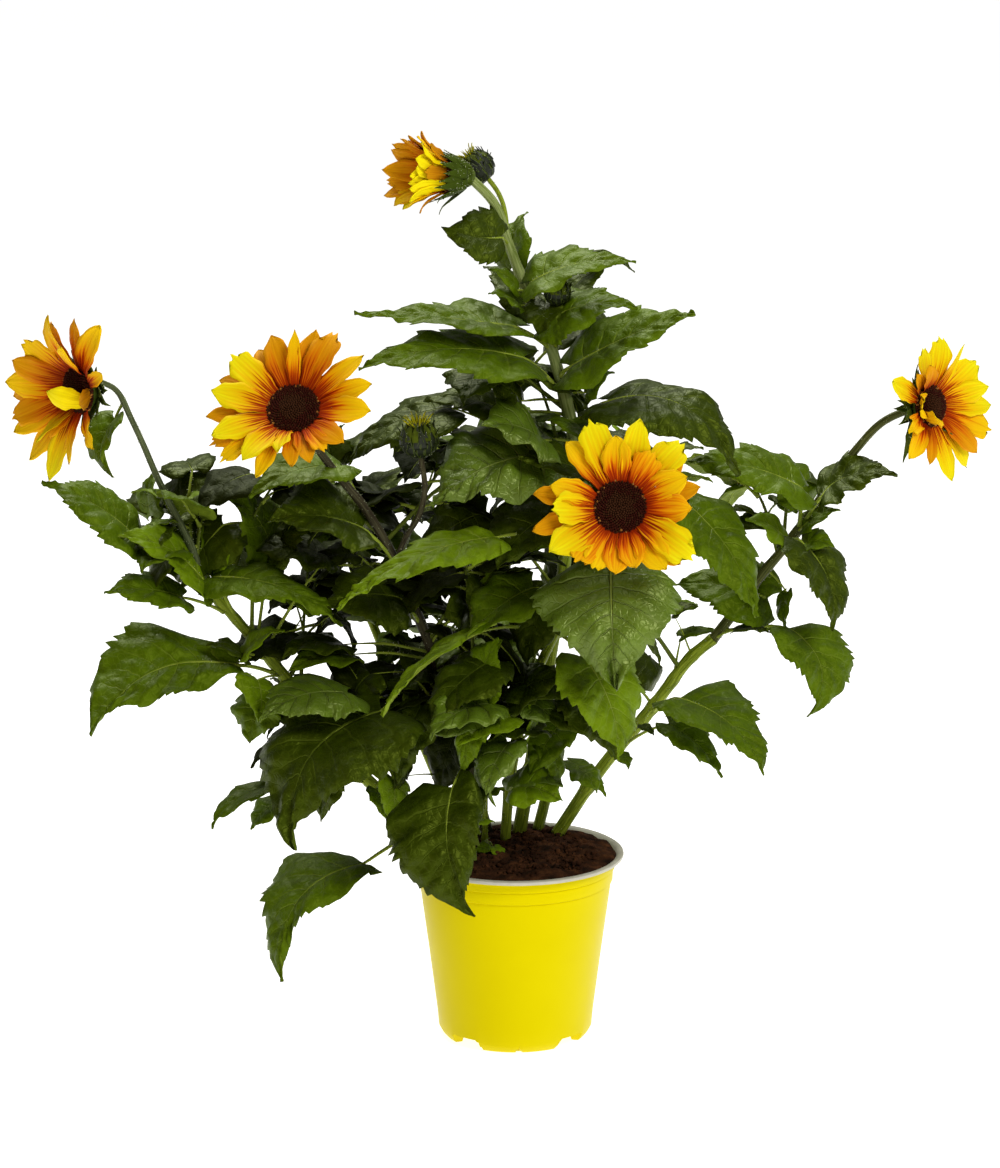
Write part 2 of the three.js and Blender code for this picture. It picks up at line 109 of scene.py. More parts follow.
def addLight(name, place, aim, size, power, colour):
    bpy.ops.object.light_add(type="AREA", location=place)
    light = bpy.context.object
    light.name = name
    light.rotation_euler = (light.location - Vector(aim)).to_track_quat("Z", "Y").to_euler()
    light.data.size, light.data.energy, light.data.color = size, power, colour[:3]


lights = {  # place, size, watts, tint
    "key": ((1.5, -1.9, 2.3), 1.1, 58, "#fffff4"),
    "fill": ((-2.2, -1.9, 1.2), 1.6, 3, "#ff9a40"),
    "top": ((-0.3, 0.9, 2.4), 1.6, 56, "#fffffa"),
}
lightAim = (0, 0, 0.35)  # the middle of the foliage
surround = {"colour": "#fbfaf0", "strength": 0.17}
for name, (place, size, power, tint) in lights.items():
    addLight(name, place, lightAim, size, power, linear(tint))
world = bpy.data.worlds.new("studio")
bpy.context.scene.world = world
world.use_nodes = True
world.node_tree.nodes["Background"].inputs["Color"].default_value = linear(surround["colour"])
world.node_tree.nodes["Background"].inputs["Strength"].default_value = surround["strength"]

# matt white paper sweep: no gloss, so that it stays an even pale ground
paper, paperTree, paperShader = startMaterial("paper", "#cfcfcd", 0.9, {
    "Emission Color": linear("#ffffff"), "Emission Strength": 0.9, "Specular IOR Level": 0.0})
paperGrain = addNode(paperTree, "TexNoise", {"Scale": 40.0, "Detail": 2.0})
paperBump = addNode(paperTree, "Bump", {"Strength": 0.02, "Height": paperGrain})
feed(paperTree, paperShader, {"Normal": paperBump})
bpy.ops.mesh.primitive_plane_add(size=40, location=(0, 0, 0))
floor = bpy.context.object
floor.name = "floor"
floor.data.materials.append(paper)
print("camera, light and floor are set")


# Shapes that are shared

def deselectAll():
    bpy.ops.object.select_all(action="DESELECT")


def unit(vectors):
    return vectors / np.maximum(np.linalg.norm(vectors, axis=-1, keepdims=True), 1e-9)


def heading(turn, rise):  # a unit vector: 0 along +X, 90 along +Y, and its rise over the level
    turn, rise = math.radians(turn), math.radians(rise)
    return np.array([math.cos(turn) * math.cos(rise), math.sin(turn) * math.cos(rise), math.sin(rise)])


def levelSide(way):  # a level unit vector square to a way
    flat = np.array([way[0], way[1], 0.0])
    if np.linalg.norm(flat) < 0.02:
        flat = np.array([0.0, -1.0, 0.0])
    flat /= np.linalg.norm(flat)
    return np.array([-flat[1], flat[0], 0.0])


def turned(vector, axis, degrees):
    cos, sin = math.cos(math.radians(degrees)), math.sin(math.radians(degrees))
    return vector * cos + np.cross(axis, vector) * sin + axis * (axis @ vector) * (1 - cos)


def scatter(spread, dice):  # a random vector, each part up to spread
    return np.array([dice.uniform(-spread, spread) for _ in range(3)])


def spoke(side, up, angle):  # the unit vector at an angle from side towards up
    return side * math.cos(angle) + up * math.sin(angle)


def spokes(sides, side, up):  # unit vectors in even steps round a ring, from side towards up
    angles = 2 * np.pi * np.arange(sides) / sides
    return np.cos(angles)[:, None] * side + np.sin(angles)[:, None] * up


def laidOut(path, side, normal, turn, s, n):  # points s aside and n out of a path, turned about it
    aside = side * np.cos(turn)[:, None] + normal * np.sin(turn)[:, None]
    outwards = normal * np.cos(turn)[:, None] - side * np.sin(turn)[:, None]
    return path + s[:, None] * aside + n[:, None] * outwards


def smoothPath(points, count):  # evenly spaced points on one smooth curve through those given
    points = np.asarray(points, float)
    padded = np.vstack([2 * points[0] - points[1], points, 2 * points[-1] - points[-2]])
    t = np.linspace(0, 1, 12, endpoint=False)[:, None]
    spans = [0.5 * (2 * b + (c - a) * t + (2 * a - 5 * b + 4 * c - d) * t ** 2
                    + (3 * b - a - 3 * c + d) * t ** 3)
             for a, b, c, d in zip(padded, padded[1:], padded[2:], padded[3:])]
    fine = np.vstack(spans + [points[-1:]])
    along = np.concatenate([[0], np.cumsum(np.linalg.norm(np.diff(fine, axis=0), axis=1))])
    steps = np.linspace(0, along[-1], count)
    return np.stack([np.interp(steps, along, fine[:, k]) for k in range(3)], axis=1)


def newHeap(finishes=1):  # shapes to be joined into one piece that wears so many finishes
    lists = {key: [] for key in ("points", "corners", "sizes", "kinds", "pattern", "layout")}
    return {**lists, "count": 0, "tiles": finishes}


def addShape(heap, points, shape, first=0):  # first: the finish of its first side; each finish has a tile
    kinds = shape["kinds"] + first
    heap["points"].append(points)
    heap["corners"].append(shape["corners"] + heap["count"])
    heap["sizes"].append(shape["sizes"])
    heap["kinds"].append(kinds)
    heap["pattern"].append(shape["pattern"][shape["corners"]])
    layout = shape["layout"][shape["corners"]] * (0.96, 0.98) + (0.02, 0.01)  # leaves a margin round the tile
    layout[:, 0] = (layout[:, 0] + np.repeat(kinds, shape["sizes"])) / heap["tiles"]
    heap["layout"].append(layout)
    heap["count"] += len(points)


def makePiece(heap, name, finishes):
    points, corners = np.vstack(heap["points"]), np.concatenate(heap["corners"])
    sizes = np.concatenate(heap["sizes"])
    mesh = bpy.data.meshes.new(name)
    mesh.vertices.add(len(points))
    mesh.vertices.foreach_set("co", points.astype(np.float32).ravel())
    mesh.loops.add(len(corners))
    mesh.loops.foreach_set("vertex_index", corners.astype(np.int32))
    mesh.polygons.add(len(sizes))
    mesh.polygons.foreach_set("loop_start", (np.cumsum(sizes) - sizes).astype(np.int32))
    mesh.polygons.foreach_set("material_index", np.concatenate(heap["kinds"]).astype(np.int32))
    mesh.polygons.foreach_set("use_smooth", np.ones(len(sizes), bool))
    for layer, key in (("pattern", "pattern"), ("OFBake", "layout")):
        values = np.vstack(heap[key]).astype(np.float32)
        mesh.uv_layers.new(name=layer, do_init=False).data.foreach_set("uv", values.ravel())
    mesh.update()
    mesh.validate()
    for finish in finishes:
        mesh.materials.append(finish)
    piece = bpy.data.objects.new(name, mesh)
    bpy.context.scene.collection.objects.link(piece)
    return piece


def shapeFrom(corners, sizes, pattern, layout):
    return {"corners": np.array(corners), "sizes": np.array(sizes), "kinds": np.zeros(len(sizes), int),
            "pattern": pattern, "layout": layout}


def shapeOf(piece, pattern, layout):  # a modelled mesh as arrays, to be copied many times
    mesh = piece.data
    corners = np.zeros(len(mesh.loops), np.int32)
    mesh.loops.foreach_get("vertex_index", corners)
    return shapeFrom(corners, [len(p.vertices) for p in mesh.polygons], pattern, layout)


def sheetShape(rows, columns, power=1.0):  # a closed thin sheet: along 0..1, across -1..1, upper and under
    deselectAll()
    bpy.ops.mesh.primitive_grid_add(x_subdivisions=rows, y_subdivisions=columns, size=1)
    sheet = bpy.context.object
    thickness = sheet.modifiers.new("thickness", "SOLIDIFY")
    thickness.thickness, thickness.offset = 1, -1
    bpy.ops.object.modifier_apply(modifier="thickness")
    place = np.array([v.co for v in sheet.data.vertices])
    along, across, under = (place[:, 0] + 0.5).clip(0, 1) ** power, place[:, 1] * 2, place[:, 2] < -0.5
    shape = shapeOf(sheet, np.stack([along, across], 1), np.stack([along, across / 2 + 0.5], 1))
    shape["kinds"] = np.array([int(all(under[v] for v in p.vertices)) for p in sheet.data.polygons])
    bpy.data.objects.remove(sheet)
    return {**shape, "along": along, "across": across, "under": under}


def bandCorners(rings, sides):  # the four-sided faces between rings of points, ring by ring
    corners = []
    for i in range(rings - 1):
        for k in range(sides):
            a, b = i * sides + k, i * sides + (k + 1) % sides
            corners += [a, b, b + sides, a + sides]
    return corners


def tubeShape(sides, stations):  # a capped tube, its corners counted station by station
    corners = bandCorners(stations, sides)
    sizes = [4] * (len(corners) // 4) + [sides, sides]
    corners += list(range(sides))[::-1] + list(range((stations - 1) * sides, stations * sides))
    along = np.repeat(np.linspace(0, 1, stations), sides)
    around = np.tile(np.arange(sides) / sides, stations)
    layout = np.stack([along, around], 1)
    return shapeFrom(corners, sizes, layout, layout)


def tubePoints(path, radii, sides):  # radii: one per station, or one per station and side
    ways = unit(np.gradient(path, axis=0))
    side = levelSide(ways[0]) if abs(ways[0][2]) < 0.9 else np.array([0.0, 1.0, 0.0])
    radii = np.broadcast_to(np.asarray(radii, float).reshape(len(path), -1), (len(path), sides))
    rings = []
    for centre, way, radius in zip(path, ways, radii):
        side = side - (side @ way) * way
        side /= np.linalg.norm(side)
        rings.append(centre + radius[:, None] * spokes(sides, side, np.cross(way, side)))
    return np.vstack(rings)


def latheShape(rings, sides):  # closed from pole to pole: rings of points, then its first and its last pole
    corners = bandCorners(rings, sides)
    sizes = [4] * (len(corners) // 4) + [3] * (2 * sides)
    firstPole, lastPole, lastRing = rings * sides, rings * sides + 1, (rings - 1) * sides
    for k in range(sides):
        after = (k + 1) % sides
        corners += [firstPole, after, k, lastPole, lastRing + k, lastRing + after]
    along = np.append(np.repeat(np.linspace(0, 1, rings), sides), [0, 1])
    around = np.append(np.tile(np.arange(sides) / sides, rings), [0, 0])
    layout = np.stack([along, around], 1)
    return shapeFrom(corners, sizes, layout, layout)


def latheInto(heap, profile, sides, centre, axis, side):  # profile: (radius, height) in mm, without the poles
    ring = spokes(sides, side, np.cross(axis, side))
    rings = [centre + h * mm * axis + r * mm * ring for r, h in profile]
    ends = [centre + profile[0][1] * mm * axis, centre + profile[-1][1] * mm * axis]
    addShape(heap, np.vstack(rings + [ends]), latheShape(len(profile), sides))


def placed(solid, centre, way, size):  # a small solid turned so that its own +Z points along way
    side = levelSide(way)
    return centre + size * (solid[:, :1] * side + solid[:, 1:2] * np.cross(way, side) + solid[:, 2:] * way)


def meshOf(name):  # a CAD node's own corners, merged, and which of them each one meets
    mesh = nodes[name].data
    mesh.calc_loop_triangles()
    loose = np.array([v.co for v in mesh.vertices])
    points, index = np.unique(loose, axis=0, return_inverse=True)
    index = index.ravel()
    near = [set() for _ in points]
    for triangle in mesh.loop_triangles:
        a, b, c = (int(index[v]) for v in triangle.vertices)
        near[a] |= {b, c}
        near[b] |= {a, c}
        near[c] |= {a, b}
    return points, near


def ringsOf(name):  # a CAD limb or leaf as rings from its foot, and the point at its tip
    points, near = meshOf(name)
    poles = [i for i in range(len(points)) if all(len(near[j]) == 5 for j in near[i])]
    if name.startswith("stem"):
        foot = min(poles, key=lambda i: points[i][2])
    else:  # the flattest end
        foot = min(poles, key=lambda i: np.linalg.norm(points[sorted(near[i])].mean(0) - points[i]))
    rings, seen, ring = [], {foot}, sorted(near[foot])
    while len(ring) > 1:
        rings.append(points[ring])
        seen |= set(ring)
        ring = sorted(set().union(*(near[i] for i in ring)) - seen)
    return rings, points[ring[0]] if ring else points[foot]


# Stems

stemForm = {
    "sides": 20, "stations": 90, "ribs": 10, "ribDepth": 0.035, "knot": 0.22, "knotLength": 5 * mm,
    "stout": {"stem_left_upper": 0.85, "stem_centre_upper": 1.2}, "runOut": 10,  # stations that thin to a tip
}
greenStems = ["stem_right", "stem_centre", "stem_left", "stem_front", "stem_slender", "stem_back_left",
              "stem_back_right", "stem_right_upper", "stem_centre_upper"]
purpleStems = ["stem_middle", "stem_left_upper"]
stemCurves = {}
for name in greenStems + purpleStems:
    rings, tip = ringsOf(name)
    centres = np.array([ring.mean(0) for ring in rings])
    radii = [np.linalg.norm(ring - ring.mean(0), axis=1).mean() for ring in rings]
    path = smoothPath(centres, stemForm["stations"])
    ringRadii = np.interp(np.linspace(0, 1, len(path)), np.linspace(0, 1, len(radii)), radii)
    stemCurves[name] = (path, ringRadii)


def onStem(name, at):  # the point, the way and the radius of a stem at a share of its length
    path, radii = stemCurves[name]
    place = at * (len(path) - 1)
    low = min(int(place), len(path) - 2)
    step = path[low + 1] - path[low]
    return path[low] + step * (place - low), unit(step), radii[low]


# Leaves

# The tone of each leaf of the model: d dark, partly the leaf's own deep green and partly painted shade, m
# middle, b bright, g glossy; a lesser leaf may be k, a near black painted shade.
leafTones = {
    "leaf_top_left": "d", "leaf_top_right": "m", "leaf_right_high": "m", "leaf_left_high": "m",
    "leaf_left_second": "m", "leaf_shoulder": "d", "leaf_bud_left": "d", "leaf_beside_bloom": "m",
    "leaf_light_long": "b", "leaf_front_long": "b", "leaf_below_bloom": "g", "leaf_arm_inner": "m",
    "leaf_arm_outer": "d", "leaf_arm_drop": "d", "leaf_far_drop": "m", "leaf_low_right": "m",
    "leaf_far_left": "m", "leaf_low_left": "m", "leaf_left_sweep": "m", "leaf_hanging": "m",
    "leaf_dark_fold": "d", "leaf_over_pot": "d",
}
# Lesser leaves by the stem that bears them: share of its length, stalk (heading, rise, length),
# blade (heading, rise, length, width), roll, tone.
lesserLeaves = {
    "stem_back_left": [
        ("backTipLeft", 0.97, (165, 55, 10), (172, 22, 58, 52), 0, "m"),
        ("backTipRight", 0.975, (20, 55, 10), (12, 18, 56, 50), 0, "d"),
        ("backTipFront", 0.985, (-85, 55, 8), (-95, 35, 50, 42), 0, "m"),
        ("backTipHigh", 0.99, (110, 75, 5), (120, 62, 36, 28), 0, "b"),
        ("backTipSmall", 0.995, (-20, 75, 5), (-30, 66, 30, 22), 0, "b"),
    ],
    "stem_back_right": [
        ("budTipLeft", 0.97, (165, 50, 10), (170, 24, 54, 48), 0, "m"),
        ("budTipRight", 0.975, (5, 45, 8), (-8, 20, 52, 46), 0, "d"),
        ("budTipFront", 0.985, (-80, 65, 6), (-85, 45, 40, 32), 0, "m"),
        ("budTipHigh", 0.995, (150, 75, 5), (160, 60, 32, 24), 0, "b"),
    ],
    "stem_centre_upper": [
        ("neckRight", 0.69, (115, 15, 5), (70, 65, 45, 44), -35, "m"),
        ("neckSmall", 0.62, (-115, 15, 15), (-160, 40, 30, 22), -35, "m"),
        ("neckTip", 0.57, (-120, 15, 20), (-155, 25, 30, 24), -25, "m"),
        ("shoulderFold", 0.46, (-100, 45, 25), (-15, 15, 75, 60), 25, "m"),
        ("shoulderBack", 0.49, (60, 45, 25), (30, 30, 55, 56), -5, "d"),
        ("neckBack", 0.50, (120, 25, 20), (140, 35, 60, 50), 0, "d"),
        ("greyUnder", 0.29, (-180, 0, 30), (-165, 35, 45, 48), -30, "d"),
        ("midLeft", 0.25, (175, 0, 40), (-175, 10, 70, 60), -15, "d"),
        ("midCurl", 0.31, (-30, 10, 15), (-25, 40, 30, 30), 35, "m"),
        ("glossyCentre", 0.15, (-115, 5, 45), (-160, -20, 100, 104), -25, "g"),
        ("glossyUpper", 0.17, (-130, 10, 35), (-140, 20, 65, 80), -30, "g"),
    ],
    "stem_front": [
        ("behindBloom", 0.81, (90, 75, 60), (-160, 15, 60, 60), -20, "d"),
        ("whitePatch", 0.68, (-160, 20, 30), (-150, -30, 65, 70), -15, "m"),
        ("underBloom", 0.57, (-65, -10, 45), (-45, -60, 85, 84), 0, "b"),
        ("darkRightLow", 0.42, (-35, -5, 40), (-35, -55, 60, 70), 5, "d"),
        ("paleTip", 0.34, (-125, 20, 65), (-15, 70, 50, 60), 50, "b"),
        ("lowPale", 0.25, (-115, 40, 85), (-15, 70, 45, 46), 60, "b"),
        ("lowDusk", 0.31, (-100, 40, 55), (-15, -5, 60, 56), 20, "d"),
        ("lowKnot", 0.26, (-85, 40, 65), (-20, -35, 35, 34), 25, "g"),
        ("lowShelf", 0.24, (-70, 25, 60), (-165, -5, 45, 40), -10, "d"),
        ("lowCurled", 0.12, (-85, 20, 55), (-15, -10, 40, 46), 30, "b"),
        ("gapDark", 0.36, (-45, 75, 80), (-145, -65, 60, 50), -35, "d"),
        ("lowStem", 0.13, (-40, 50, 75), (-140, -50, 50, 40), -25, "m"),
        ("slimLight", 0.34, (-85, -10, 50), (-110, 80, 30, 26), -90, "b"),
    ],
    "stem_centre": [
        ("centreGap", 0.72, (-165, 50, 85), (-170, -30, 65, 64), -40, "d"),
        ("darkCentre", 0.82, (-95, 45, 65), (-150, -30, 70, 80), -20, "d"),
        ("curled", 0.13, (-100, 30, 50), (-40, 0, 50, 44), 15, "g"),
        ("darkRight", 0.29, (-105, 35, 85), (-20, 25, 55, 50), 30, "d"),
        ("lowHide", 0.35, (-85, -5, 45), (-50, -65, 40, 30), -10, "m"),
        ("lowPoint", 0.35, (-80, 25, 65), (-15, -30, 60, 50), 25, "d"),
        ("centreShade", 0.68, (-140, 15, 55), (-170, 45, 50, 80), -35, "d"),
    ],
    "stem_right": [
        ("stubRight", 0.64, (-120, -30, 15), (-45, -25, 15, 12), 5, "d"),
        ("smallLow", 0.58, (-135, -35, 30), (-55, -30, 20, 20), -10, "m"),
        ("lowDangle", 0.23, (-100, 30, 50), (-30, -40, 25, 30), 10, "m"),
        ("dangleRight", 0.42, (-40, 30, 50), (-25, -40, 60, 40), 10, "m"),
        ("darkTip", 0.24, (-135, 45, 30), (-40, -30, 45, 30), 0, "m"),
        ("armLow", 1.00, (-50, 25, 20), (-20, 0, 30, 22), 5, "d"),
        ("gapLeaf", 0.89, (-155, 65, 35), (-15, 25, 20, 16), 25, "d"),
        ("gapEdge", 0.77, (-5, 80, 25), (10, 5, 30, 26), 5, "m"),
        ("behindLow", 0.64, (165, 50, 10), (160, 50, 50, 60), -20, "d"),
    ],
    "stem_right_upper": [
        ("rightFar", 0.44, (70, 75, 15), (150, 50, 50, 54), -5, "m"),
        ("armPale", 0.42, (-55, 40, 5), (-20, 30, 35, 26), 30, "m"),
        ("armPoint", 0.39, (-100, 20, 20), (-155, 30, 40, 36), -35, "b"),
        ("armRound", 0.38, (-60, 15, 15), (-30, 5, 30, 30), 30, "m"),
        ("armThin", 0.28, (-25, -45, 20), (-95, -70, 30, 24), 60, "m"),
        ("armBehind", 0.15, (5, 5, 15), (168, 6, 75, 64), -38, "m"),
        ("armBright", 0.16, (150, 45, 5), (10, 20, 30, 30), 10, "b"),
    ],
    "stem_left_upper": [
        ("leftUpright", 0.19, (140, 20, 40), (80, 75, 35, 36), -45, "m"),
        ("leftSail", 0.18, (115, 20, 40), (0, 30, 60, 66), 25, "d"),
        ("bloomSide", 0.84, (135, -55, 15), (-130, -65, 45, 44), 15, "m"),
    ],
    "stem_left": [
        ("leftStripe", 0.94, (-140, 50, 10), (-150, 35, 90, 62), -35, "b"),
        ("leftUnder", 0.94, (140, 25, 40), (175, 25, 50, 50), -10, "d"),
        ("leftNotch", 0.94, (135, 60, 25), (120, 80, 35, 30), 35, "m"),
        ("leftSpear", 0.93, (140, 70, 25), (10, 40, 40, 40), 10, "b"),
        ("leftBright", 0.88, (-140, 60, 30), (-15, -15, 110, 60), 10, "m"),
        ("leftShade", 0.82, (90, 55, 60), (0, 40, 95, 84), 25, "d"),
        ("leftShadeLow", 0.77, (15, 55, 85), (-170, 5, 65, 66), -10, "d"),
        ("leftRoundUp", 0.80, (65, 70, 70), (-155, 55, 60, 64), -50, "m"),
        ("leftDip", 0.72, (45, 50, 55), (-160, 15, 30, 40), -25, "m"),
        ("leftTipSmall", 0.74, (-140, 15, 20), (-160, 25, 35, 26), -20, "d"),
        ("leftTipUp", 0.74, (-135, 20, 25), (-15, 35, 40, 30), 25, "b"),
        ("leftRound", 0.69, (-130, 5, 25), (-85, -55, 35, 50), -45, "b"),
        ("leftEdge", 0.68, (-130, -25, 25), (-140, -65, 35, 50), -10, "m"),
        ("foldBehind", 0.47, (-75, 45, 70), (-150, -5, 80, 84), -10, "g"),
        ("lowSpear", 0.47, (-140, -20, 65), (-160, -30, 55, 34), -5, "m"),
        ("lowSpearTwo", 0.41, (-145, -20, 65), (-155, -40, 30, 34), -10, "m"),
        ("lowDark", 0.38, (-155, 10, 10), (-120, -65, 45, 44), 15, "d"),
        ("lowEdge", 0.32, (-135, 10, 50), (25, 35, 35, 34), -5, "b"),
        ("lowLight", 0.28, (-95, 20, 30), (-55, -55, 30, 30), -15, "b"),
    ],
    "stem_middle": [
        ("underBlooms", 0.78, (145, 55, 25), (-150, -10, 80, 66), -10, "m"),
        ("midDark", 0.62, (-140, 45, 35), (-155, 10, 80, 90), -25, "d"),
        ("midDarkLow", 0.48, (-120, 40, 35), (-155, 0, 65, 80), -25, "d"),
        ("midTip", 0.41, (-160, 10, 70), (-150, 0, 55, 54), -5, "d"),
        ("midTipLow", 0.39, (-155, 10, 70), (-150, -5, 55, 46), -15, "m"),
        ("midHang", 0.35, (-150, 10, 60), (-150, -50, 30, 56), -5, "d"),
        ("lowMid", 0.22, (-115, 30, 75), (-140, -70, 65, 46), -10, "d"),
        ("lowLeftLight", 0.11, (-130, 15, 95), (-105, -75, 35, 36), -60, "b"),
        ("lowShade", 0.15, (-135, 25, 85), (-80, -65, 45, 40), -45, "d"),
        ("purpleShade", 0.43, (-35, 45, 50), (-145, 50, 45, 80), -55, "d"),
        ("centreBack", 0.30, (-140, 30, 10), (180, 55, 50, 80), -30, "d"),
    ],
    "stem_slender": [
        ("lowBlack", 0.33, (-150, 70, 55), (180, -75, 65, 55), -50, "k"),
        ("longDark", 0.65, (-80, 60, 80), (-145, -35, 75, 60), -10, "d"),
        ("quilted", 0.68, (-85, 35, 70), (-145, -15, 60, 56), -15, "g"),
        ("brightMid", 0.64, (-70, 30, 70), (-150, -20, 50, 44), -10, "b"),
        ("curlMid", 0.59, (-65, 20, 50), (-120, -40, 50, 46), 10, "g"),
        ("lowGloss", 0.58, (-80, 45, 70), (-165, -25, 55, 46), -30, "g"),
        ("lowLight", 0.49, (-95, 50, 65), (-145, -75, 50, 34), -10, "b"),
        ("lowCurl", 0.33, (-70, 45, 70), (-155, -60, 50, 40), -20, "g"),
        ("potFold", 0.39, (-105, 5, 55), (-65, -70, 35, 40), 65, "d"),
        ("seedOne", 0.02, (-80, 5, 25), (-155, -10, 15, 14), -25, "m"),
        ("seedTwo", 0.02, (-75, 5, 25), (-50, -35, 15, 14), 0, "b"),
        ("potBehind", 0.39, (-90, 5, 35), (-120, -20, 35, 44), 10, "d"),
        ("potLight", 0.26, (-90, -5, 40), (-125, -5, 30, 22), -5, "b"),
    ],
}
# How single leaves differ: roll, fold and twist in degrees; bow, sag, hook and droop as shares of the length;
# back in millimetres; uneven and curl as shares of the half width; the rest are factors.
ownShapes = {
    "leaf_left_sweep": {"late": 1.7, "wide": 0.86, "uneven": -0.22, "bow": -0.12, "twist": 0, "hook": 0.12,
                        "puff": 1.3},
    "leaf_over_pot": {"wide": 0.84, "uneven": -0.36, "roll": 20, "fold": 18, "bow": -0.13, "hook": 0,
                      "twist": 0, "puff": 1.3},
    "leaf_dark_fold": {"wide": 1.1, "hook": 0, "twist": 0, "bow": -0.12, "puff": 1.6},
    "leaf_hanging": {"wide": 0.98, "roll": -5, "twist": 0, "bow": -0.1, "uneven": -0.42, "lobes": 0.2,
                     "hook": 0, "fold": 10},
    "leaf_front_long": {"wide": 0.8, "roll": 12, "twist": 0, "fold": 32, "hook": 0},
    "leaf_light_long": {"wide": 0.75, "late": 0.9, "lobes": 0, "fold": 14, "hook": -0.06, "bow": -0.01,
                        "twist": 0},
    "leaf_low_right": {"wide": 1.2, "twist": 0, "lobes": 0.1, "late": 0.9, "bow": 0.1},
    "leaf_far_drop": {"wide": 0.95, "twist": 0, "bow": 0.2, "uneven": 0.22, "lobes": 0.4, "hook": 0},
    "leaf_arm_drop": {"roll": 12, "twist": 0, "bow": 0.05},
    "leaf_arm_outer": {"roll": 24, "twist": 0, "bow": -0.06, "back": 18},
    "leaf_arm_inner": {"roll": -10, "twist": 0},
    "leaf_top_left": {"wide": 1.25, "droop": 0.05, "bow": 0.12},
    "leaf_top_right": {"roll": 6, "twist": 0, "droop": 0, "hook": 0, "late": 0.85},
    "leaf_right_high": {"roll": 6, "twist": 0, "droop": 0, "hook": 0},
    "leaf_left_high": {"sag": 0.03, "wide": 1.1, "twist": 0, "hook": 0, "droop": 0, "late": 0.85},
    "leaf_left_second": {"sag": -0.03, "wide": 1.35, "roll": -6, "twist": 0, "late": 0.9},
    "leaf_beside_bloom": {"roll": 26, "wide": 0.92, "twist": 0, "bow": -0.05, "puff": 1.4},
    "leaf_shoulder": {"roll": 4, "sag": -0.06, "puff": 1.2},
    "leaf_far_left": {"droop": 0, "hook": 0, "twist": 0},
    "leaf_below_bloom": {"wide": 0.95, "twist": 0, "hook": 0, "fold": 8, "curl": 0.3, "puff": 4,
                         "sag": -0.03},
    "underBloom": {"puff": 1.6},
    "bloomSide": {"hook": 0.6, "fold": 40, "twist": 20, "wide": 0.9},
    "glossyCentre": {"fold": 8, "twist": 0, "curl": 0.3, "uneven": -0.35, "bow": -0.06, "puff": 3.2},
    "lowCurl": {"hook": 0.35, "fold": 30},
    "lowGloss": {"twist": 20, "bow": 0.1},
    "lowCurled": {"puff": 1.6},
}
tones = {"d": 0, "m": 1, "b": 2, "g": 3, "k": 4}
bladeForm = {
    "thick": 0.5 * mm, "arch": 0.1,
    # half width at each share of the length, and how far the side veins lean forward from midrib to edge
    "outline": [(-0.13, 0.3), (-0.1, 0.52), (-0.05, 0.72), (0.02, 0.87), (0.1, 0.97), (0.2, 1), (0.3, 0.985),
                (0.4, 0.92), (0.5, 0.81), (0.6, 0.67), (0.7, 0.5), (0.79, 0.34), (0.87, 0.19), (0.94, 0.085),
                (1, 0.012)],
    "lean": [(0, -0.12), (0.05, -0.04), (0.12, 0.08), (0.2, 0.17), (0.35, 0.24), (0.5, 0.23), (0.7, 0.16),
             (0.85, 0.08), (1, 0)],
    "rowPower": 1.35,  # over 1: the rows of its mesh stand closer at its foot
    "veinGap": 0.13, "tooth": 0.078, "toothDepth": 0.11, "wave": 0.075,
    # relief as shares of the length: between the side veins, creases along them, uneven puffs, small puckers
    "quilt": (0.024, 0.036), "crease": 0.012, "puff": 0.007, "pucker": 0.0022,
    # what differs at random from leaf to leaf, in the units of ownShapes; ripple is a share of the half width
    "uneven": (-0.08, 0.08), "fold": (8, 22), "curl": (0.05, 0.25), "ripple": (0.04, 0.11),
    "droop": (-0.02, 0.1), "hook": (-0.06, 0.06), "twist": (-15, 15),
}
# Where the rings of a leaf of the model lie along its blade, and its width at the third over its greatest.
nodeForm = {"rings": (0.02, 0.12, 0.26, 0.42, 0.58, 0.74, 0.89), "third": 0.26 ** 0.42 * 0.74 ** 0.95 / 0.43}


def leafAt(name, start, way, radius, stalk, blade, roll, tone):  # a leaf from its sizes, leaving a limb
    stalkWay, bladeWay = heading(stalk[0], stalk[1]), heading(blade[0], blade[1])
    lean = max(math.sqrt(max(0, 1 - (way @ stalkWay) ** 2)), 0.3)
    foot = start + stalkWay * radius * 0.5 / lean
    base = start + stalkWay * (radius / lean + stalk[2] * mm)
    side = turned(levelSide(bladeWay), bladeWay, roll)
    lift = np.cross(bladeWay, side)
    length = blade[2] * mm
    arch = bladeForm["arch"] * length
    curve = np.array([base, bladeWay * length + 4 * arch * lift, -4 * arch * lift])
    middle = foot + (base - foot) * 0.5 + np.array([0, 0, 0.05 * stalk[2] * mm])
    return {"name": name, "stalk": [foot, middle, base], "curve": curve, "side": side, "length": length,
            "half": blade[3] * mm / 2, "tone": tone, **ownShapes.get(name, {})}


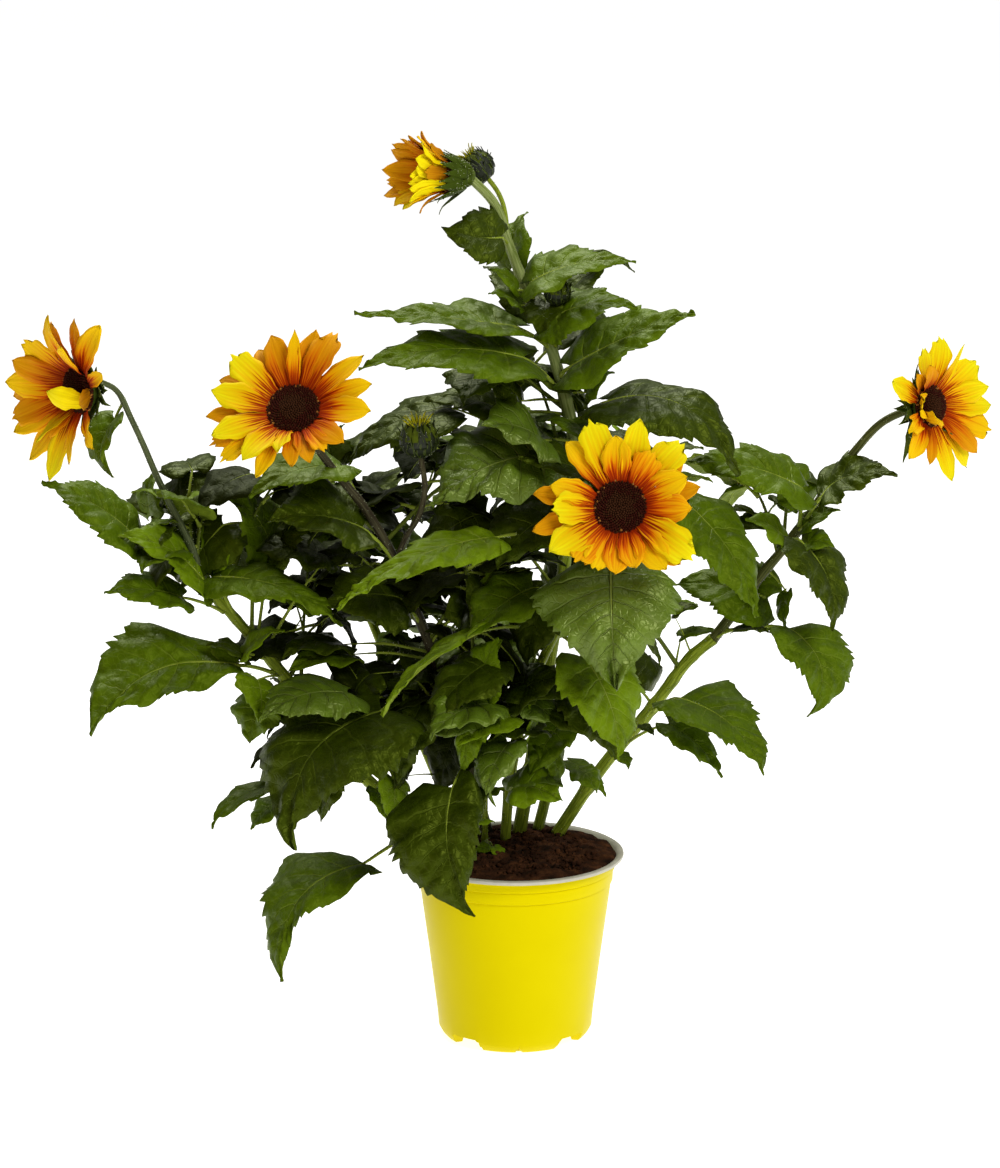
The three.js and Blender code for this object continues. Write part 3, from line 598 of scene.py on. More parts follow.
def leafOfNode(name):  # a leaf of the model, read from its rings
    rings, tip = ringsOf(name)
    mids, sides, halves, lifts = [], [], [], []
    for ring in rings[3:3 + len(nodeForm["rings"])]:
        apart = np.linalg.norm(ring[:, None] - ring[None], axis=2)
        a, b = np.unravel_index(apart.argmax(), apart.shape)
        inner = [k for k in range(4) if k not in (a, b)]
        middle = ring[inner].mean(0)
        lifts.append((ring[a] + ring[b]) / 2 - middle)
        sides.append(ring[a] - ring[b])
        halves.append(apart.max() / 2)
        mids.append(middle)
    curve = np.polynomial.polynomial.polyfit(np.array([*nodeForm["rings"], 1.0]), np.vstack(mids + [tip]), 2)
    way = unit(curve[1] + curve[2])
    lift = unit(np.sum(lifts, axis=0))
    side = np.cross(lift, way)
    foot = rings[0].mean(0)
    inward = unit(foot - rings[1].mean(0))
    stalk = [foot + inward * 4 * mm] + [ring.mean(0) for ring in rings[:3]] + [curve[0]]
    own = ownShapes.get(name, {})
    side = turned(unit(side), way, own.get("roll", 0))
    length = np.linalg.norm(curve[1] + curve[2])
    return {"name": name, "stalk": stalk, "curve": curve, "side": side, "length": length,
            "half": halves[2] / nodeForm["third"], "tone": leafTones[name], **own}


def bladePoints(shape, leaf, dice):  # the blade bent along its own midrib
    form, length, half = bladeForm, leaf["length"], leaf["half"] * leaf.get("wide", 1)
    t, across = shape["along"], shape["across"]
    edge = np.abs(across)
    late = leaf.get("late", 1)  # over 1: a slimmer foot, widest further out
    outline, leans = np.array(form["outline"]), np.array(form["lean"])
    lean = np.interp(t, leans[:, 0], leans[:, 1])
    lean = np.where(lean < 0, lean * max(0, 2 - late) * leaf.get("lobes", 1), lean)
    reach = t + lean
    width = np.interp(np.where(reach > 0, np.abs(reach) ** late, reach), outline[:, 0], outline[:, 1])
    width = width * (1 - 0.85 * (late - 1) * np.exp(-(np.clip(reach, 0, 1) / 0.3) ** 2))
    right = across > 0
    phase = np.where(right, dice.random(), dice.random())  # the two halves of a blade differ
    depth = form["toothDepth"] * np.clip((0.97 - reach) / 0.3, 0.1, 1)
    depth = depth * (1 + 0.8 * np.sin(19 * t + 6 * phase))
    pitch = form["tooth"] * max(1.0, 70 * mm / length)
    if len(t) < 900:  # no finer than its mesh can show
        pitch *= 1.5
    saw = (((reach + 0.035 * np.sin(15 * t + 9 * phase)) / pitch + phase) % 1 - 0.45) * depth
    width = width * (1 + saw * edge ** 6) * (1 + form["wave"] * edge ** 3 * np.sin(9 * t + 6 * phase))
    u = t + lean * edge ** 1.35 + 0.3 * saw * edge ** 6
    uneven = leaf.get("uneven", dice.uniform(*form["uneven"]))
    s = across * width * half * (1 + uneven * np.sign(across))  # s aside from the midrib, n out of the blade
    fold = math.tan(math.radians(leaf.get("fold", dice.uniform(*form["fold"]))))
    n = np.abs(s) * fold * (1.15 - 0.6 * edge)
    n -= leaf.get("curl", dice.uniform(*form["curl"])) * half * edge ** 3 * width
    between = 0.5 - 0.5 * np.cos(2 * np.pi * t * leaf["grain"] / form["veinGap"])
    bulge = np.sqrt(np.clip(edge * (1.12 - edge), 0, 1))
    n += dice.uniform(*form["quilt"]) * length * (between - 0.6) * bulge * (1 - t) ** 0.3
    n += form["crease"] * length * np.sin(11 * edge + 7 * t + 6 * phase) * between * edge
    for _ in range(3):  # no two parts of a blade puff up alike
        swell = dice.uniform(1.5, 4) * t + dice.uniform(-1.6, 1.6) * across + dice.random()
        n += form["puff"] * leaf.get("puff", 1) * length * np.sin(2 * np.pi * swell) * edge ** 0.5
    cells = np.sin(2 * np.pi * (5.5 * t + 1.8 * edge + phase))
    cells = cells * np.sin(2 * np.pi * (2.3 * across + 1.4 * t + phase))
    inside = np.clip(1.1 - edge, 0, 1)
    n += form["pucker"] * leaf.get("puff", 1) * length * cells * inside * np.clip(3 * edge, 0, 1)
    wave = np.where(right, dice.random(), dice.random())
    ripple = dice.uniform(*form["ripple"]) * half
    n += ripple * edge ** 2.5 * np.sin(2 * np.pi * ((2.0 + wave) * reach + wave)) * np.clip(1.2 - t, 0, 1)
    n -= leaf.get("sag", 0) * length * 4 * t * (1 - t)
    s = s + leaf.get("bow", 0) * length * 4 * t * (1 - t)
    droop = leaf.get("droop", dice.uniform(*form["droop"]))
    hook = leaf.get("hook", dice.uniform(*form["hook"]))
    n -= droop * length * np.clip(t - 0.45, 0, 1) ** 2 * 3
    s = s + hook * length * np.clip(t - 0.3, 0, 1) ** 2 * 2
    path = leaf["curve"][0] + u[:, None] * leaf["curve"][1] + (u ** 2)[:, None] * leaf["curve"][2]
    path[:, 1] += leaf.get("back", 0) * mm * np.sin(np.pi * np.clip(t, 0, 1) ** 0.6)  # bent behind a stem
    way = unit(leaf["curve"][1] + 2 * u[:, None] * leaf["curve"][2])
    side = unit(leaf["side"] - (way @ leaf["side"])[:, None] * way)
    normal = np.cross(way, side)
    twist = np.radians(leaf.get("twist", dice.uniform(*form["twist"]))) * (t - 0.3)
    return laidOut(path, side, normal, twist, s, n - np.where(shape["under"], form["thick"], 0))


def ribPath(points, shape):  # the midrib of a blade that is already bent: its middle column, underneath
    middle = shape["under"] & (np.abs(shape["across"]) < 0.01)
    order = np.argsort(shape["along"][middle])
    return points[middle][order]


leafHeap, lesserHeap, sprayHeap, backHeap = (newHeap(2 * len(tones)) for _ in range(4))
stalkHeap, twigHeap = newHeap(), newHeap()
bigBlade, midBlade, smallBlade = (sheetShape(*size, bladeForm["rowPower"]) for size in (
    (56, 14), (36, 10), (24, 8)))
# Radius in millimetres at shares of the way from a limb to near the leaf's tip, and how much the foot widens.
stalkForm = {"shares": (0, 0.35, 0.5, 1), "radii": (1.7, 1.4, 0.8, 0.25), "swell": 0.5}
bigStalk, smallStalk = (8, 22), (5, 12)  # sides and stations
stalkTubes = {size: tubeShape(*size) for size in (bigStalk, smallStalk)}
hairyLimbs = []  # (path, radii) of all that bears hairs


def growLeaf(leaf, heap, shape, stalkSize):
    dice = random.Random(leaf["name"])
    # how many side veins it has
    leaf["grain"] = dice.uniform(0.85, 1.15) * min(max(leaf["length"] / (95 * mm), 0.5), 1.1)
    points = bladePoints(shape, leaf, dice)
    veined = {**shape, "pattern": shape["pattern"] * (leaf["grain"], 1)}
    addShape(heap, points, veined, 2 * tones[leaf["tone"]])
    rib = ribPath(points, shape)
    rib = rib[: int(len(rib) * 0.92)]
    stalk = smoothPath(leaf["stalk"], 12)
    sides, stations = stalkSize
    path = smoothPath(np.vstack([stalk[:-1], rib[1::3]]), stations)
    along = np.linspace(0, 1, stations)
    thick = min(1.0, leaf["length"] / (90 * mm)) ** 0.5
    radii = np.interp(along, stalkForm["shares"], stalkForm["radii"]) * mm * thick
    radii = radii * (1 + stalkForm["swell"] * np.exp(-(along / 0.03) ** 2))
    addShape(stalkHeap, tubePoints(path, radii, sides), stalkTubes[stalkSize])
    hairyLimbs.append((path[: stations // 2], radii[: stations // 2]))


for name in leafTones:
    growLeaf(leafOfNode(name), leafHeap, bigBlade, bigStalk)
for stem, borne in lesserLeaves.items():
    for name, at, stalk, blade, roll, tone in borne:
        leaf = leafAt(name, *onStem(stem, at), stalk, blade, roll, tone)
        growLeaf(leaf, lesserHeap, bigBlade if blade[2] >= 75 else midBlade, bigStalk)
print("leaves of the limbs are grown")


# Sprays: in the room of each mass of foliage, twigs grow on from the nearest limbs and bear leaves in turn.

sprays = {  # twigs, leaves on each
    "mass_neck": (1, 3), "mass_high": (3, 4), "mass_middle_high": (4, 5), "mass_left_shoulder": (3, 5),
    "mass_left_arm": (3, 4), "mass_left_inner": (4, 6), "mass_middle": (4, 6), "mass_left_low": (4, 5),
    "mass_middle_low": (4, 6), "mass_right_low": (2, 3), "mass_right_arm": (2, 4), "mass_back_high": (5, 5),
    "mass_back_left": (5, 6), "mass_back_right": (5, 6), "mass_back_low": (5, 5),
}
sprayForm = {
    "blade": (50, 92), "scale": 0.7, "stalk": (10, 24), "width": (0.76, 0.92),  # lengths; width over length
    "rise": (-10, 50), "roll": (-30, 30), "twig": 1.6, "sides": 6, "stations": 14,
    # the tones that its leaves are dealt from, by where the mass stands: masses inside and behind get the
    # near black k, painted shade
    "outerTones": "dddmmb", "backTones": "kddmm", "innerShadeTones": "kkkkkd",
}
twigTube = tubeShape(sprayForm["sides"], sprayForm["stations"])
outerSprays = ("mass_neck", "mass_high", "mass_left_arm", "mass_right_arm", "mass_right_low")


def growSpray(name, twigs, leavesEach, dice):
    low, high = (np.array(corner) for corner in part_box(name))
    middle, half = (low + high) / 2, (high - low) / 2
    behind = name.startswith("mass_back")
    dealt = sprayForm["outerTones" if name in outerSprays else "backTones" if behind else "innerShadeTones"]
    near = []
    for path, _ in stemCurves.values():
        reach = np.linalg.norm(path - middle + np.array([0, 0, half[2] * 0.8]), axis=1)
        near.append((reach.min(), reach.argmin(), path))
    near.sort(key=lambda item: item[0])
    for k in range(twigs):
        _, index, path = near[k % 2 if near[1][0] < 2.2 * near[0][0] else 0]
        index = int(np.clip(index + dice.randint(-6, 6), 3, len(path) - 2))
        foot = path[index]
        spot = scatter(1, dice)
        spot *= 0.62 / max(np.linalg.norm(spot), 0.62)
        spot[2] = abs(spot[2])
        end = middle + spot * half
        bow = (end - foot) * 0.5 + np.array([0, 0, 0.12 * np.linalg.norm(end - foot)])
        twig = smoothPath([foot, foot + bow, end], sprayForm["stations"])
        thick = np.linspace(1.25, 0.6, len(twig)) * sprayForm["twig"] * mm
        addShape(twigHeap, tubePoints(twig, thick, sprayForm["sides"]), twigTube)
        hairyLimbs.append((twig, thick))
        if behind:  # tailTo: the heading that its leaves point away from, to left and right by turns
            tailTo = math.degrees(math.atan2(end[1] - 0.02, end[0]))
        elif name == "mass_neck":
            tailTo = dice.uniform(40, 140)
        else:
            tailTo = dice.uniform(-150, -30)
        for j in range(leavesEach):
            at = 0.35 + 0.65 * j / max(leavesEach - 1, 1)
            i = min(int(at * (len(twig) - 1)), len(twig) - 2)
            way = unit(twig[i + 1] - twig[i])
            tail = tailTo + (-1) ** j * dice.uniform(20, 100)
            turn, rise = tail + 180, dice.uniform(*sprayForm["rise"])
            length = dice.uniform(*sprayForm["blade"])
            toCentre = middle - twig[i]
            if np.linalg.norm(toCentre / half) > 0.7 and toCentre[:2] @ heading(tail, 0)[:2] < 0:
                length *= 0.72  # shorter where it points to the middle of the mass
            length *= sprayForm["scale"]
            stalk = (turn, rise, dice.uniform(*sprayForm["stalk"]))
            blade = (turn + dice.uniform(-25, 25), rise - dice.uniform(15, 60), length,
                     length * dice.uniform(*sprayForm["width"]))
            roll, tone = dice.uniform(*sprayForm["roll"]), dice.choice(dealt)
            leaf = leafAt(f"{name}{k}{j}", twig[i], way, thick[i], stalk, blade, roll, tone)
            growLeaf(leaf, backHeap if behind else sprayHeap, smallBlade, smallStalk)


for name, (twigs, leavesEach) in sprays.items():
    growSpray(name, twigs, leavesEach, random.Random(name))
print("sprays are grown")


# The stems' own skin: ribbed tubes that swell where a stalk leaves them

def growStem(name, heap, tube, finish=0):
    path, radii = stemCurves[name]
    if name.endswith("upper"):  # reaches down into the length that it grows on from
        path = np.vstack([path[0] - unit(path[1] - path[0]) * 2 * mm, path[1:]])
    sides, runOut = stemForm["sides"], stemForm["runOut"]
    along = np.linspace(0, 1, len(path))
    length = np.linalg.norm(np.diff(path, axis=0), axis=1).sum()
    swell = np.ones(len(path))
    for borne in lesserLeaves.get(name, []):
        at = borne[1]
        swell += stemForm["knot"] * 0.5 * np.exp(-((along - at) * length / stemForm["knotLength"]) ** 2)
    if name.startswith("stem_back"):
        swell[-runOut:] *= np.linspace(1, 0.3, runOut)  # runs out among its last leaves
    around = np.arange(sides) / sides * 2 * np.pi
    rib = 1 + stemForm["ribDepth"] * np.cos(stemForm["ribs"] * around)[None]
    rib = rib + 0.02 * np.sin(3 * around[None] + 9 * along[:, None])
    skin = (radii * swell * stemForm["stout"].get(name, 1))[:, None] * rib
    addShape(heap, tubePoints(path, skin, sides), tube, finish)
    hairyLimbs.extend([(path, radii * swell)] * 2)  # stems are twice as hairy as stalks


stemTube = tubeShape(stemForm["sides"], stemForm["stations"])
greenHeap, purpleHeap = newHeap(3), newHeap(2)
for name in greenStems:
    growStem(name, greenHeap, stemTube, {"stem_right_upper": 1, "stem_centre_upper": 2}.get(name, 0))
for name in purpleStems:
    growStem(name, purpleHeap, stemTube, int(name == "stem_left_upper"))
print("stems are grown")


# Blooms and buds

# Rays: angle round the disc, length, width, how steeply the ray stands, tone, and what sets one apart.
# Angles in degrees, lengths in millimetres. Tones: g gold, a amber, a deeper orange that is partly painted
# shade, l lemon, f flame.
blooms = {
    "bloom_front": {"disc": 20, "behind": 4, "rays": [
        (110, 54, 25, 10, "l", {"blunt": 1}), (95, 38, 23, 22, "g"), (75, 52, 22, 15, "l"),
        (46, 54, 26, 10, "l"),
        (58, 34, 22, 22, "f"), (25, 40, 23, 20, "g"), (14, 46, 17, 5, "a"), (-5, 39, 24, 20, "f"),
        (-35, 54, 27, 10, "l", {"blunt": 1}), (-55, 45, 25, 15, "g"), (-75, 34, 21, 15, "f"),
        (-93, 37, 22, 15, "f"),
        (-110, 38, 24, 15, "g", {"blunt": 1}), (-127, 41, 22, 15, "f"), (-145, 49, 27, 15, "l"),
        (-165, 52, 18, 5, "a"),
        (-175, 38, 25, 20, "l", {"blunt": 1}), (164, 40, 20, 20, "g"), (170, 52, 16, 5, "a"),
        (128, 50, 18, 5, "g")]},
    "bloom_middle": {"disc": 20, "behind": 3, "rays": [
        (145, 49, 24, 15, "l", {"blunt": 1}), (157, 50, 17, 4, "a"), (175, 48, 23, 15, "l"),
        (-172, 51, 16, 5, "a"),
        (-155, 50, 20, 15, "l"), (-150, 54, 15, 4, "a"), (-137, 54, 15, 5, "g"), (-123, 43, 20, 15, "l"),
        (-112, 47, 14, 5, "g"), (-97, 31, 15, 30, "l", {"twist": 45, "ripple": 0.1}),
        (-84, 36, 15, 15, "a"),
        (-70, 35, 15, 15, "a"), (-53, 33, 15, 18, "f"), (-38, 38, 19, 18, "a"), (-5, 46, 22, 15, "g"),
        (20, 47, 16, 8, "g", {"twist": 30}), (35, 52, 19, 20, "g", {"twist": -25}), (65, 53, 23, 15, "a"),
        (80, 49, 18, 10, "a"), (93, 46, 13, 22, "g", {"twist": 70}), (110, 47, 21, 15, "a"),
        (122, 46, 17, 5, "a")]},
    "bloom_left": {"disc": 18, "behind": 3, "lower": 5, "rays": [
        (92, 54, 20, 30, "g", {"twist": -15}), (75, 49, 16, 12, "a"), (55, 58, 19, 8, "g", {"twist": 25}),
        (130, 45, 25, 38, "g", {"blunt": 1}), (152, 46, 22, 44, "a"), (175, 50, 23, 40, "g"),
        (-170, 53, 16, 24, "a"),
        (-157, 53, 22, 36, "a", {"blunt": 1}), (-145, 56, 20, 28, "g"),
        (-128, 62, 19, 20, "g", {"twist": 12}),
        (-108, 64, 17, 15, "l", {"twist": -25}), (-84, 44, 15, 26, "g", {"twist": 20}),
        (-56, 36, 15, 22, "g", {"ripple": 0.1, "twist": 15}), (25, 36, 11, 12, "g", {"twist": 30}),
        (64, 44, 13, 46, "g", {"twist": 20}), (-115, 41, 13, 50, "l", {"twist": 50}),
        (-22, 38, 19, 62, "l", {"curlOver": 135, "ripple": 0.05})]},
    "bloom_right": {"disc": 15.5, "behind": 3, "rays": [
        (70, 43, 21, 10, "l", {"blunt": 1}), (100, 35, 14, 15, "l"), (50, 44, 12, 15, "l", {"twist": 50}),
        (26, 47, 24, 10, "l", {"blunt": 1}), (9, 46, 18, 12, "l"), (-8, 49, 17, 10, "l"),
        (-25, 50, 23, 10, "g", {"blunt": 1}),
        (-48, 46, 16, 10, "a"), (-58, 52, 14, 0, "l"), (-80, 49, 17, 5, "l"),
        (-98, 34, 9, 5, "a", {"twist": 60}),
        (-135, 39, 17, 10, "g"), (-155, 27, 14, 20, "g", {"ripple": 0.2}), (150, 38, 18, 8, "l"),
        (115, 30, 14, 45, "a"), (175, 13, 19, 60, "g", {"blunt": 1, "ripple": 0.14}),
        (-138, 24, 17, 55, "g", {"curlOver": 45, "ripple": 0.07})]},
    "bloom_top": {"disc": 14.5, "behind": 5, "closed": True, "rays": [
        (80, 32, 17, 56, "g"), (97, 31, 16, 52, "a"), (110, 36, 16, 62, "a"), (125, 40, 16, 66, "a"),
        (141, 46, 16, 66, "a"),
        (160, 48, 16, 70, "a"), (180, 50, 17, 72, "a"), (-160, 50, 17, 70, "a"), (-141, 52, 16, 64, "a"),
        (-121, 46, 16, 66, "g"), (-101, 38, 16, 66, "l"), (58, 32, 14, 58, "l"), (38, 31, 14, 70, "l"),
        (20, 30, 14, 78, "l"),
        (3, 33, 14, 82, "l"), (-14, 33, 14, 80, "l"), (-31, 33, 14, 74, "l"), (-50, 35, 14, 68, "l"),
        (-75, 36, 15, 66, "g")]},
}
# Leafy bracts that stand out from a cup: angle, length, width, first and last lift.
leafyBracts = {
    "bloom_top": [(-98, 31, 9, 38, 52), (60, 24, 7, 40, 80)],
    "bloom_right": [(-112, 36, 14, -25, -5), (98, 27, 4, 5, 30), (178, 18, 6, -30, 20)],
    "bloom_left": [(10, 22, 5, 0, 45)],
}
rayTones = {"g": (0, 1), "a": (2,), "l": (3, 4), "f": (5,)}
rayForm = {
    "width": [(0, 0.42), (0.12, 0.56), (0.3, 0.84), (0.5, 1), (0.68, 0.95), (0.82, 0.72), (0.92, 0.42),
              (0.97, 0.21), (1, 0.03)],
    "blunt": [(0, 0.42), (0.12, 0.56), (0.3, 0.8), (0.5, 0.96), (0.7, 1), (0.85, 0.92), (0.94, 0.76),
              (1, 0.5)],
    "thick": 0.35 * mm, "groove": 0.6 * mm,
}
bractForm = {
    "width": [(0, 0.8), (0.2, 1), (0.45, 0.86), (0.65, 0.5), (0.8, 0.26), (0.92, 0.12), (1, 0.03)],
    "thick": 0.45 * mm, "groove": 0.25 * mm, "cup": 0.12, "edgeHairs": 14,
}
headForm = {  # millimetres, for a disc of this radius
    "disc": 20, "dome": 6, "florets": 430, "sides": 32,
    "cup": [(4.2, -17), (8, -15.5), (13.5, -11), (17.5, -6), (19.5, -1.5), (18, -0.5)],  # radius, height
    # rows of bracts: how many, radius and height of their feet, length, width
    "bracts": [(13, 16, -8, 24, 8), (13, 13, -11.5, 23, 8.5), (11, 9, -14.5, 20, 8)],
}
rayShape, bractShape = sheetShape(16, 8), sheetShape(9, 4)


def strapPoints(shape, form, start, out, axis, length, width, lift,
                cup, twist, bend, flick, ripple=0, blunt=0, phase=0.0):
    # a narrow blade that leaves start towards out, rising towards the axis by lift = (first, last) degrees
    t, across = shape["along"], shape["across"]
    edge = np.abs(across)
    end = np.clip(3 * t - 2, 0, 1)
    if blunt:  # a broad end, notched two or three times
        t = t - end ** 2 * (0.13 * edge ** 2 + 0.045 * (1 + np.cos(7.5 * across + 6 * phase)))
    else:
        t = t - end ** 2 * 0.02 * (1 + np.cos(9 * across + 6 * phase))
    fine = np.linspace(0, 1, 33)
    rise = np.radians(lift[0] + (lift[1] - lift[0]) * fine ** 0.8 + flick * np.clip(fine - 0.7, 0, 1) / 0.3)
    stepOut, stepUp = np.cos(rise), np.sin(rise)
    far = np.concatenate([[0], np.cumsum((stepOut[1:] + stepOut[:-1]) / 2)]) * length / 32
    high = np.concatenate([[0], np.cumsum((stepUp[1:] + stepUp[:-1]) / 2)]) * length / 32
    angle = np.interp(t, fine, rise)[:, None]
    path = start + np.interp(t, fine, far)[:, None] * out + np.interp(t, fine, high)[:, None] * axis
    side = np.cross(axis, out)
    normal = -np.sin(angle) * out + np.cos(angle) * axis
    widths = np.array(form["blunt" if blunt else "width"])
    wide = np.interp(shape["along"], widths[:, 0], widths[:, 1]) * width / 2
    wide = wide * (1 + 0.07 * edge ** 4 * np.sin(21 * t + 6 * phase + across))
    s = across * wide + bend * length * t ** 2  # s aside, n out of the blade
    n = cup * width * across ** 2 * np.sin(np.pi * np.clip(t * 1.1, 0, 1))
    n += form["groove"] * np.cos(3 * np.pi * across + 2 * phase) * np.sin(np.pi * t) ** 0.5
    n += ripple * width * edge ** 1.5 * np.sin(14 * t + 6 * phase + 2 * across) * np.clip(2 * t, 0, 1)
    n -= np.where(shape["under"], form["thick"], 0)
    return laidOut(path, side, normal, np.radians(twist) * t, s, n)


def coneShape(sides, levels):  # a small bluntly pointed floret: levels of (radius, height)
    ring = spokes(sides, np.array([1.0, 0, 0]), np.array([0, 1.0, 0]))
    rings = [r * ring + (0, 0, h) for r, h in levels]
    ends = np.array([[0, 0, levels[0][1]], [0, 0, levels[-1][1] + levels[-1][0] * 0.6]])
    return {**latheShape(len(levels), sides), "solid": np.vstack(rings + [ends])}


def headFrame(name):  # middle of the disc, the way it faces, and its side and upper directions
    points, near = meshOf(name)
    poles = sorted(range(len(points)), key=lambda i: len(near[i]))[-2:]
    depth = {i: np.linalg.norm(points[sorted(near[i])].mean(0) - points[i]) for i in poles}
    front, back = sorted(poles, key=depth.get)  # the dome is shallower than the cup
    facing = unit(points[front] - points[back])
    side = levelSide(facing)
    return points[front] - facing * headForm["dome"] * mm, facing, side, np.cross(facing, side)


rayHeap, discHeap, cupHeap, budHeap, hairHeap = (newHeap(finishes) for finishes in (12, 3, 2, 6, 1))
floret = coneShape(5, [(0.75, -1.2), (0.95, 0.9), (0.35, 1.9)])
deselectAll()
bpy.ops.mesh.primitive_cone_add(vertices=3, radius1=0.14, radius2=0, depth=1, location=(0, 0, 0))
spike = bpy.context.object  # a hair: a spike one unit long that stands on its foot
hair = shapeOf(spike, np.zeros((4, 2)), np.zeros((4, 2)))
hair["solid"] = np.array([v.co for v in spike.data.vertices]) + (0, 0, 0.5)
bpy.data.objects.remove(spike)


def growHairs(points, count, way, lengths, dice):  # hairs of some lengths in mm, from random points
    for _ in range(count):
        spot = points[dice.randrange(len(points))]
        lean = unit(way + scatter(0.7, dice))
        addShape(hairHeap, placed(hair["solid"], spot, lean, mm * dice.uniform(*lengths)), hair)


def growBloom(name, spec):
    dice = random.Random(name)
    centre, facing, side, upper = headFrame(name)
    centre = centre - np.array([0, 0, spec.get("lower", 0) * mm])
    disc, closed = spec["disc"], spec.get("closed", False)
    shrink = disc / headForm["disc"]

    def outAt(degrees):  # away from the middle of the disc
        return spoke(side, upper, math.radians(degrees))

    def dome(share):  # height of the domed disc at a share of its radius
        return headForm["dome"] * shrink * (1 - share ** 2) - 0.8

    def growRay(angle, length, width, stand, tone, own, inset):
        out = outAt(angle)
        start = centre + out * (disc - 3) * mm - facing * inset * mm
        spread = 10 if abs(stand) < 30 else 14
        lift = (stand + spread + dice.uniform(-3, 3), stand - spread + own.get("curlOver", 0))
        cup, twist = dice.uniform(-0.05, 0.2), own.get("twist", dice.uniform(-16, 16))
        bend = dice.uniform(-0.05, 0.05)
        flick = 0 if "curlOver" in own else dice.uniform(-45, 25)
        ripple = own.get("ripple", dice.uniform(0.01, 0.05))
        blunt = own.get("blunt", int(dice.random() < 0.2))
        points = strapPoints(rayShape, rayForm, start, out, facing, length * mm, width * mm, lift,
                             cup, twist, bend, flick, ripple, blunt, dice.random())
        addShape(rayHeap, points, rayShape, 2 * dice.choice(rayTones[tone]))

    for angle, length, width, stand, tone, *own in spec["rays"]:
        growRay(angle, length, width, stand, tone, own[0] if own else {}, 0.5 if stand > 7 else 2)
    for k in range(spec["behind"]):  # a few more show through the gaps, dealt amber as painted shade
        angle = 360 / spec["behind"] * (k + 0.5) - 180 + dice.uniform(-15, 15)
        nearest = min(spec["rays"], key=lambda ray: abs((ray[0] - angle + 180) % 360 - 180))
        growRay(angle, nearest[1] * 0.86, nearest[2] * 0.8, nearest[3] - 8, "a", {}, 3)
    bed = [(disc - 0.5, -2), (disc, -0.4)] + [(disc * share, dome(share)) for share in (0.8, 0.55, 0.25)]
    latheInto(discHeap, bed, headForm["sides"], centre, facing, side)
    count = int(headForm["florets"] * shrink ** 2)
    for i in range(count):  # in turning rows, each a golden angle on from the last
        share = math.sqrt((i + 0.5) / count)
        out = outAt(i * 137.508)
        spot = centre + out * disc * share * mm + facing * dome(share) * mm
        tone = 2 if share > 0.86 and dice.random() < 0.14 else 1 if share < 0.5 or dice.random() < 0.25 else 0
        way = unit(facing + out * 0.35 * share + scatter(0.1, dice))
        size = mm * dice.uniform(0.85, 1.15) * (1.2 if share > 0.75 else 1)
        addShape(discHeap, placed(floret["solid"], spot, way, size), floret, tone)
    deep = 1.25 if closed else 1.0  # how far the cup and its bracts reach down
    cup = [(radius * shrink, height * deep if height < -2 else height) for radius, height in headForm["cup"]]
    latheInto(cupHeap, cup, headForm["sides"], centre, facing, side)
    bracts = [(360 / number * (k + row * 0.37), radius * shrink, height * deep, length, width, None)
              for row, (number, radius, height, length, width) in enumerate(headForm["bracts"])
              for k in range(number)]
    bracts += [(angle, 12 * shrink, -12 * deep, length, width, lifts)
               for angle, length, width, *lifts in leafyBracts.get(name, [])]
    for angle, radius, height, length, width, lifts in bracts:
        out = outAt(angle + (0 if lifts else dice.uniform(-7, 7)))
        start = centre + (out * radius + facing * height) * mm
        if not lifts:
            if closed:
                lifts = (52 + dice.uniform(-10, 10), 84 + dice.uniform(-14, 8))
            else:
                lifts = (18 + dice.uniform(-10, 10), 42 + dice.uniform(-25, 15))
            length = length * dice.uniform(0.72, 0.95) * (1.15 if closed else 1)
            width = width * dice.uniform(0.85, 1.1)
        twist, bend, flick = dice.uniform(-15, 15), dice.uniform(-0.08, 0.08), dice.uniform(-60, 20)
        points = strapPoints(bractShape, bractForm, start, out, facing, length * mm, width * mm, lifts,
                             bractForm["cup"], twist, bend, flick)
        addShape(cupHeap, points, bractShape)
        growHairs(points, bractForm["edgeHairs"], out * 0.6 - facing * 0.6, (0.8, 1.6), dice)


for name, spec in blooms.items():
    growBloom(name, spec)
print("blooms are grown")

buds = {"bud_left": 16, "bud_top": 14.5, "bud_high": 11, "bud_back": 12}  # radius of the head
# Rows of scales round a globe, from the foot up: how many, the angle up from its foot at which they start,
# length and width over the radius, how far the tip turns out.
budForm = {
    "rows": [(9, 20, 1.3, 0.5, -90), (11, 48, 1.25, 0.46, -75), (12, 74, 1.05, 0.42, -50),
             (11, 98, 0.9, 0.34, -45), (9, 120, 0.7, 0.28, -30)],
    "globe": (12, 35, 60, 85, 110, 135, 155),  # angles up from its foot of the rings of the globe inside
    "globeSides": 20, "tuft": 26, "scaleHairs": 2, "stalkSides": 10, "stalkStations": 16,
}
budStalk = tubeShape(budForm["stalkSides"], budForm["stalkStations"])


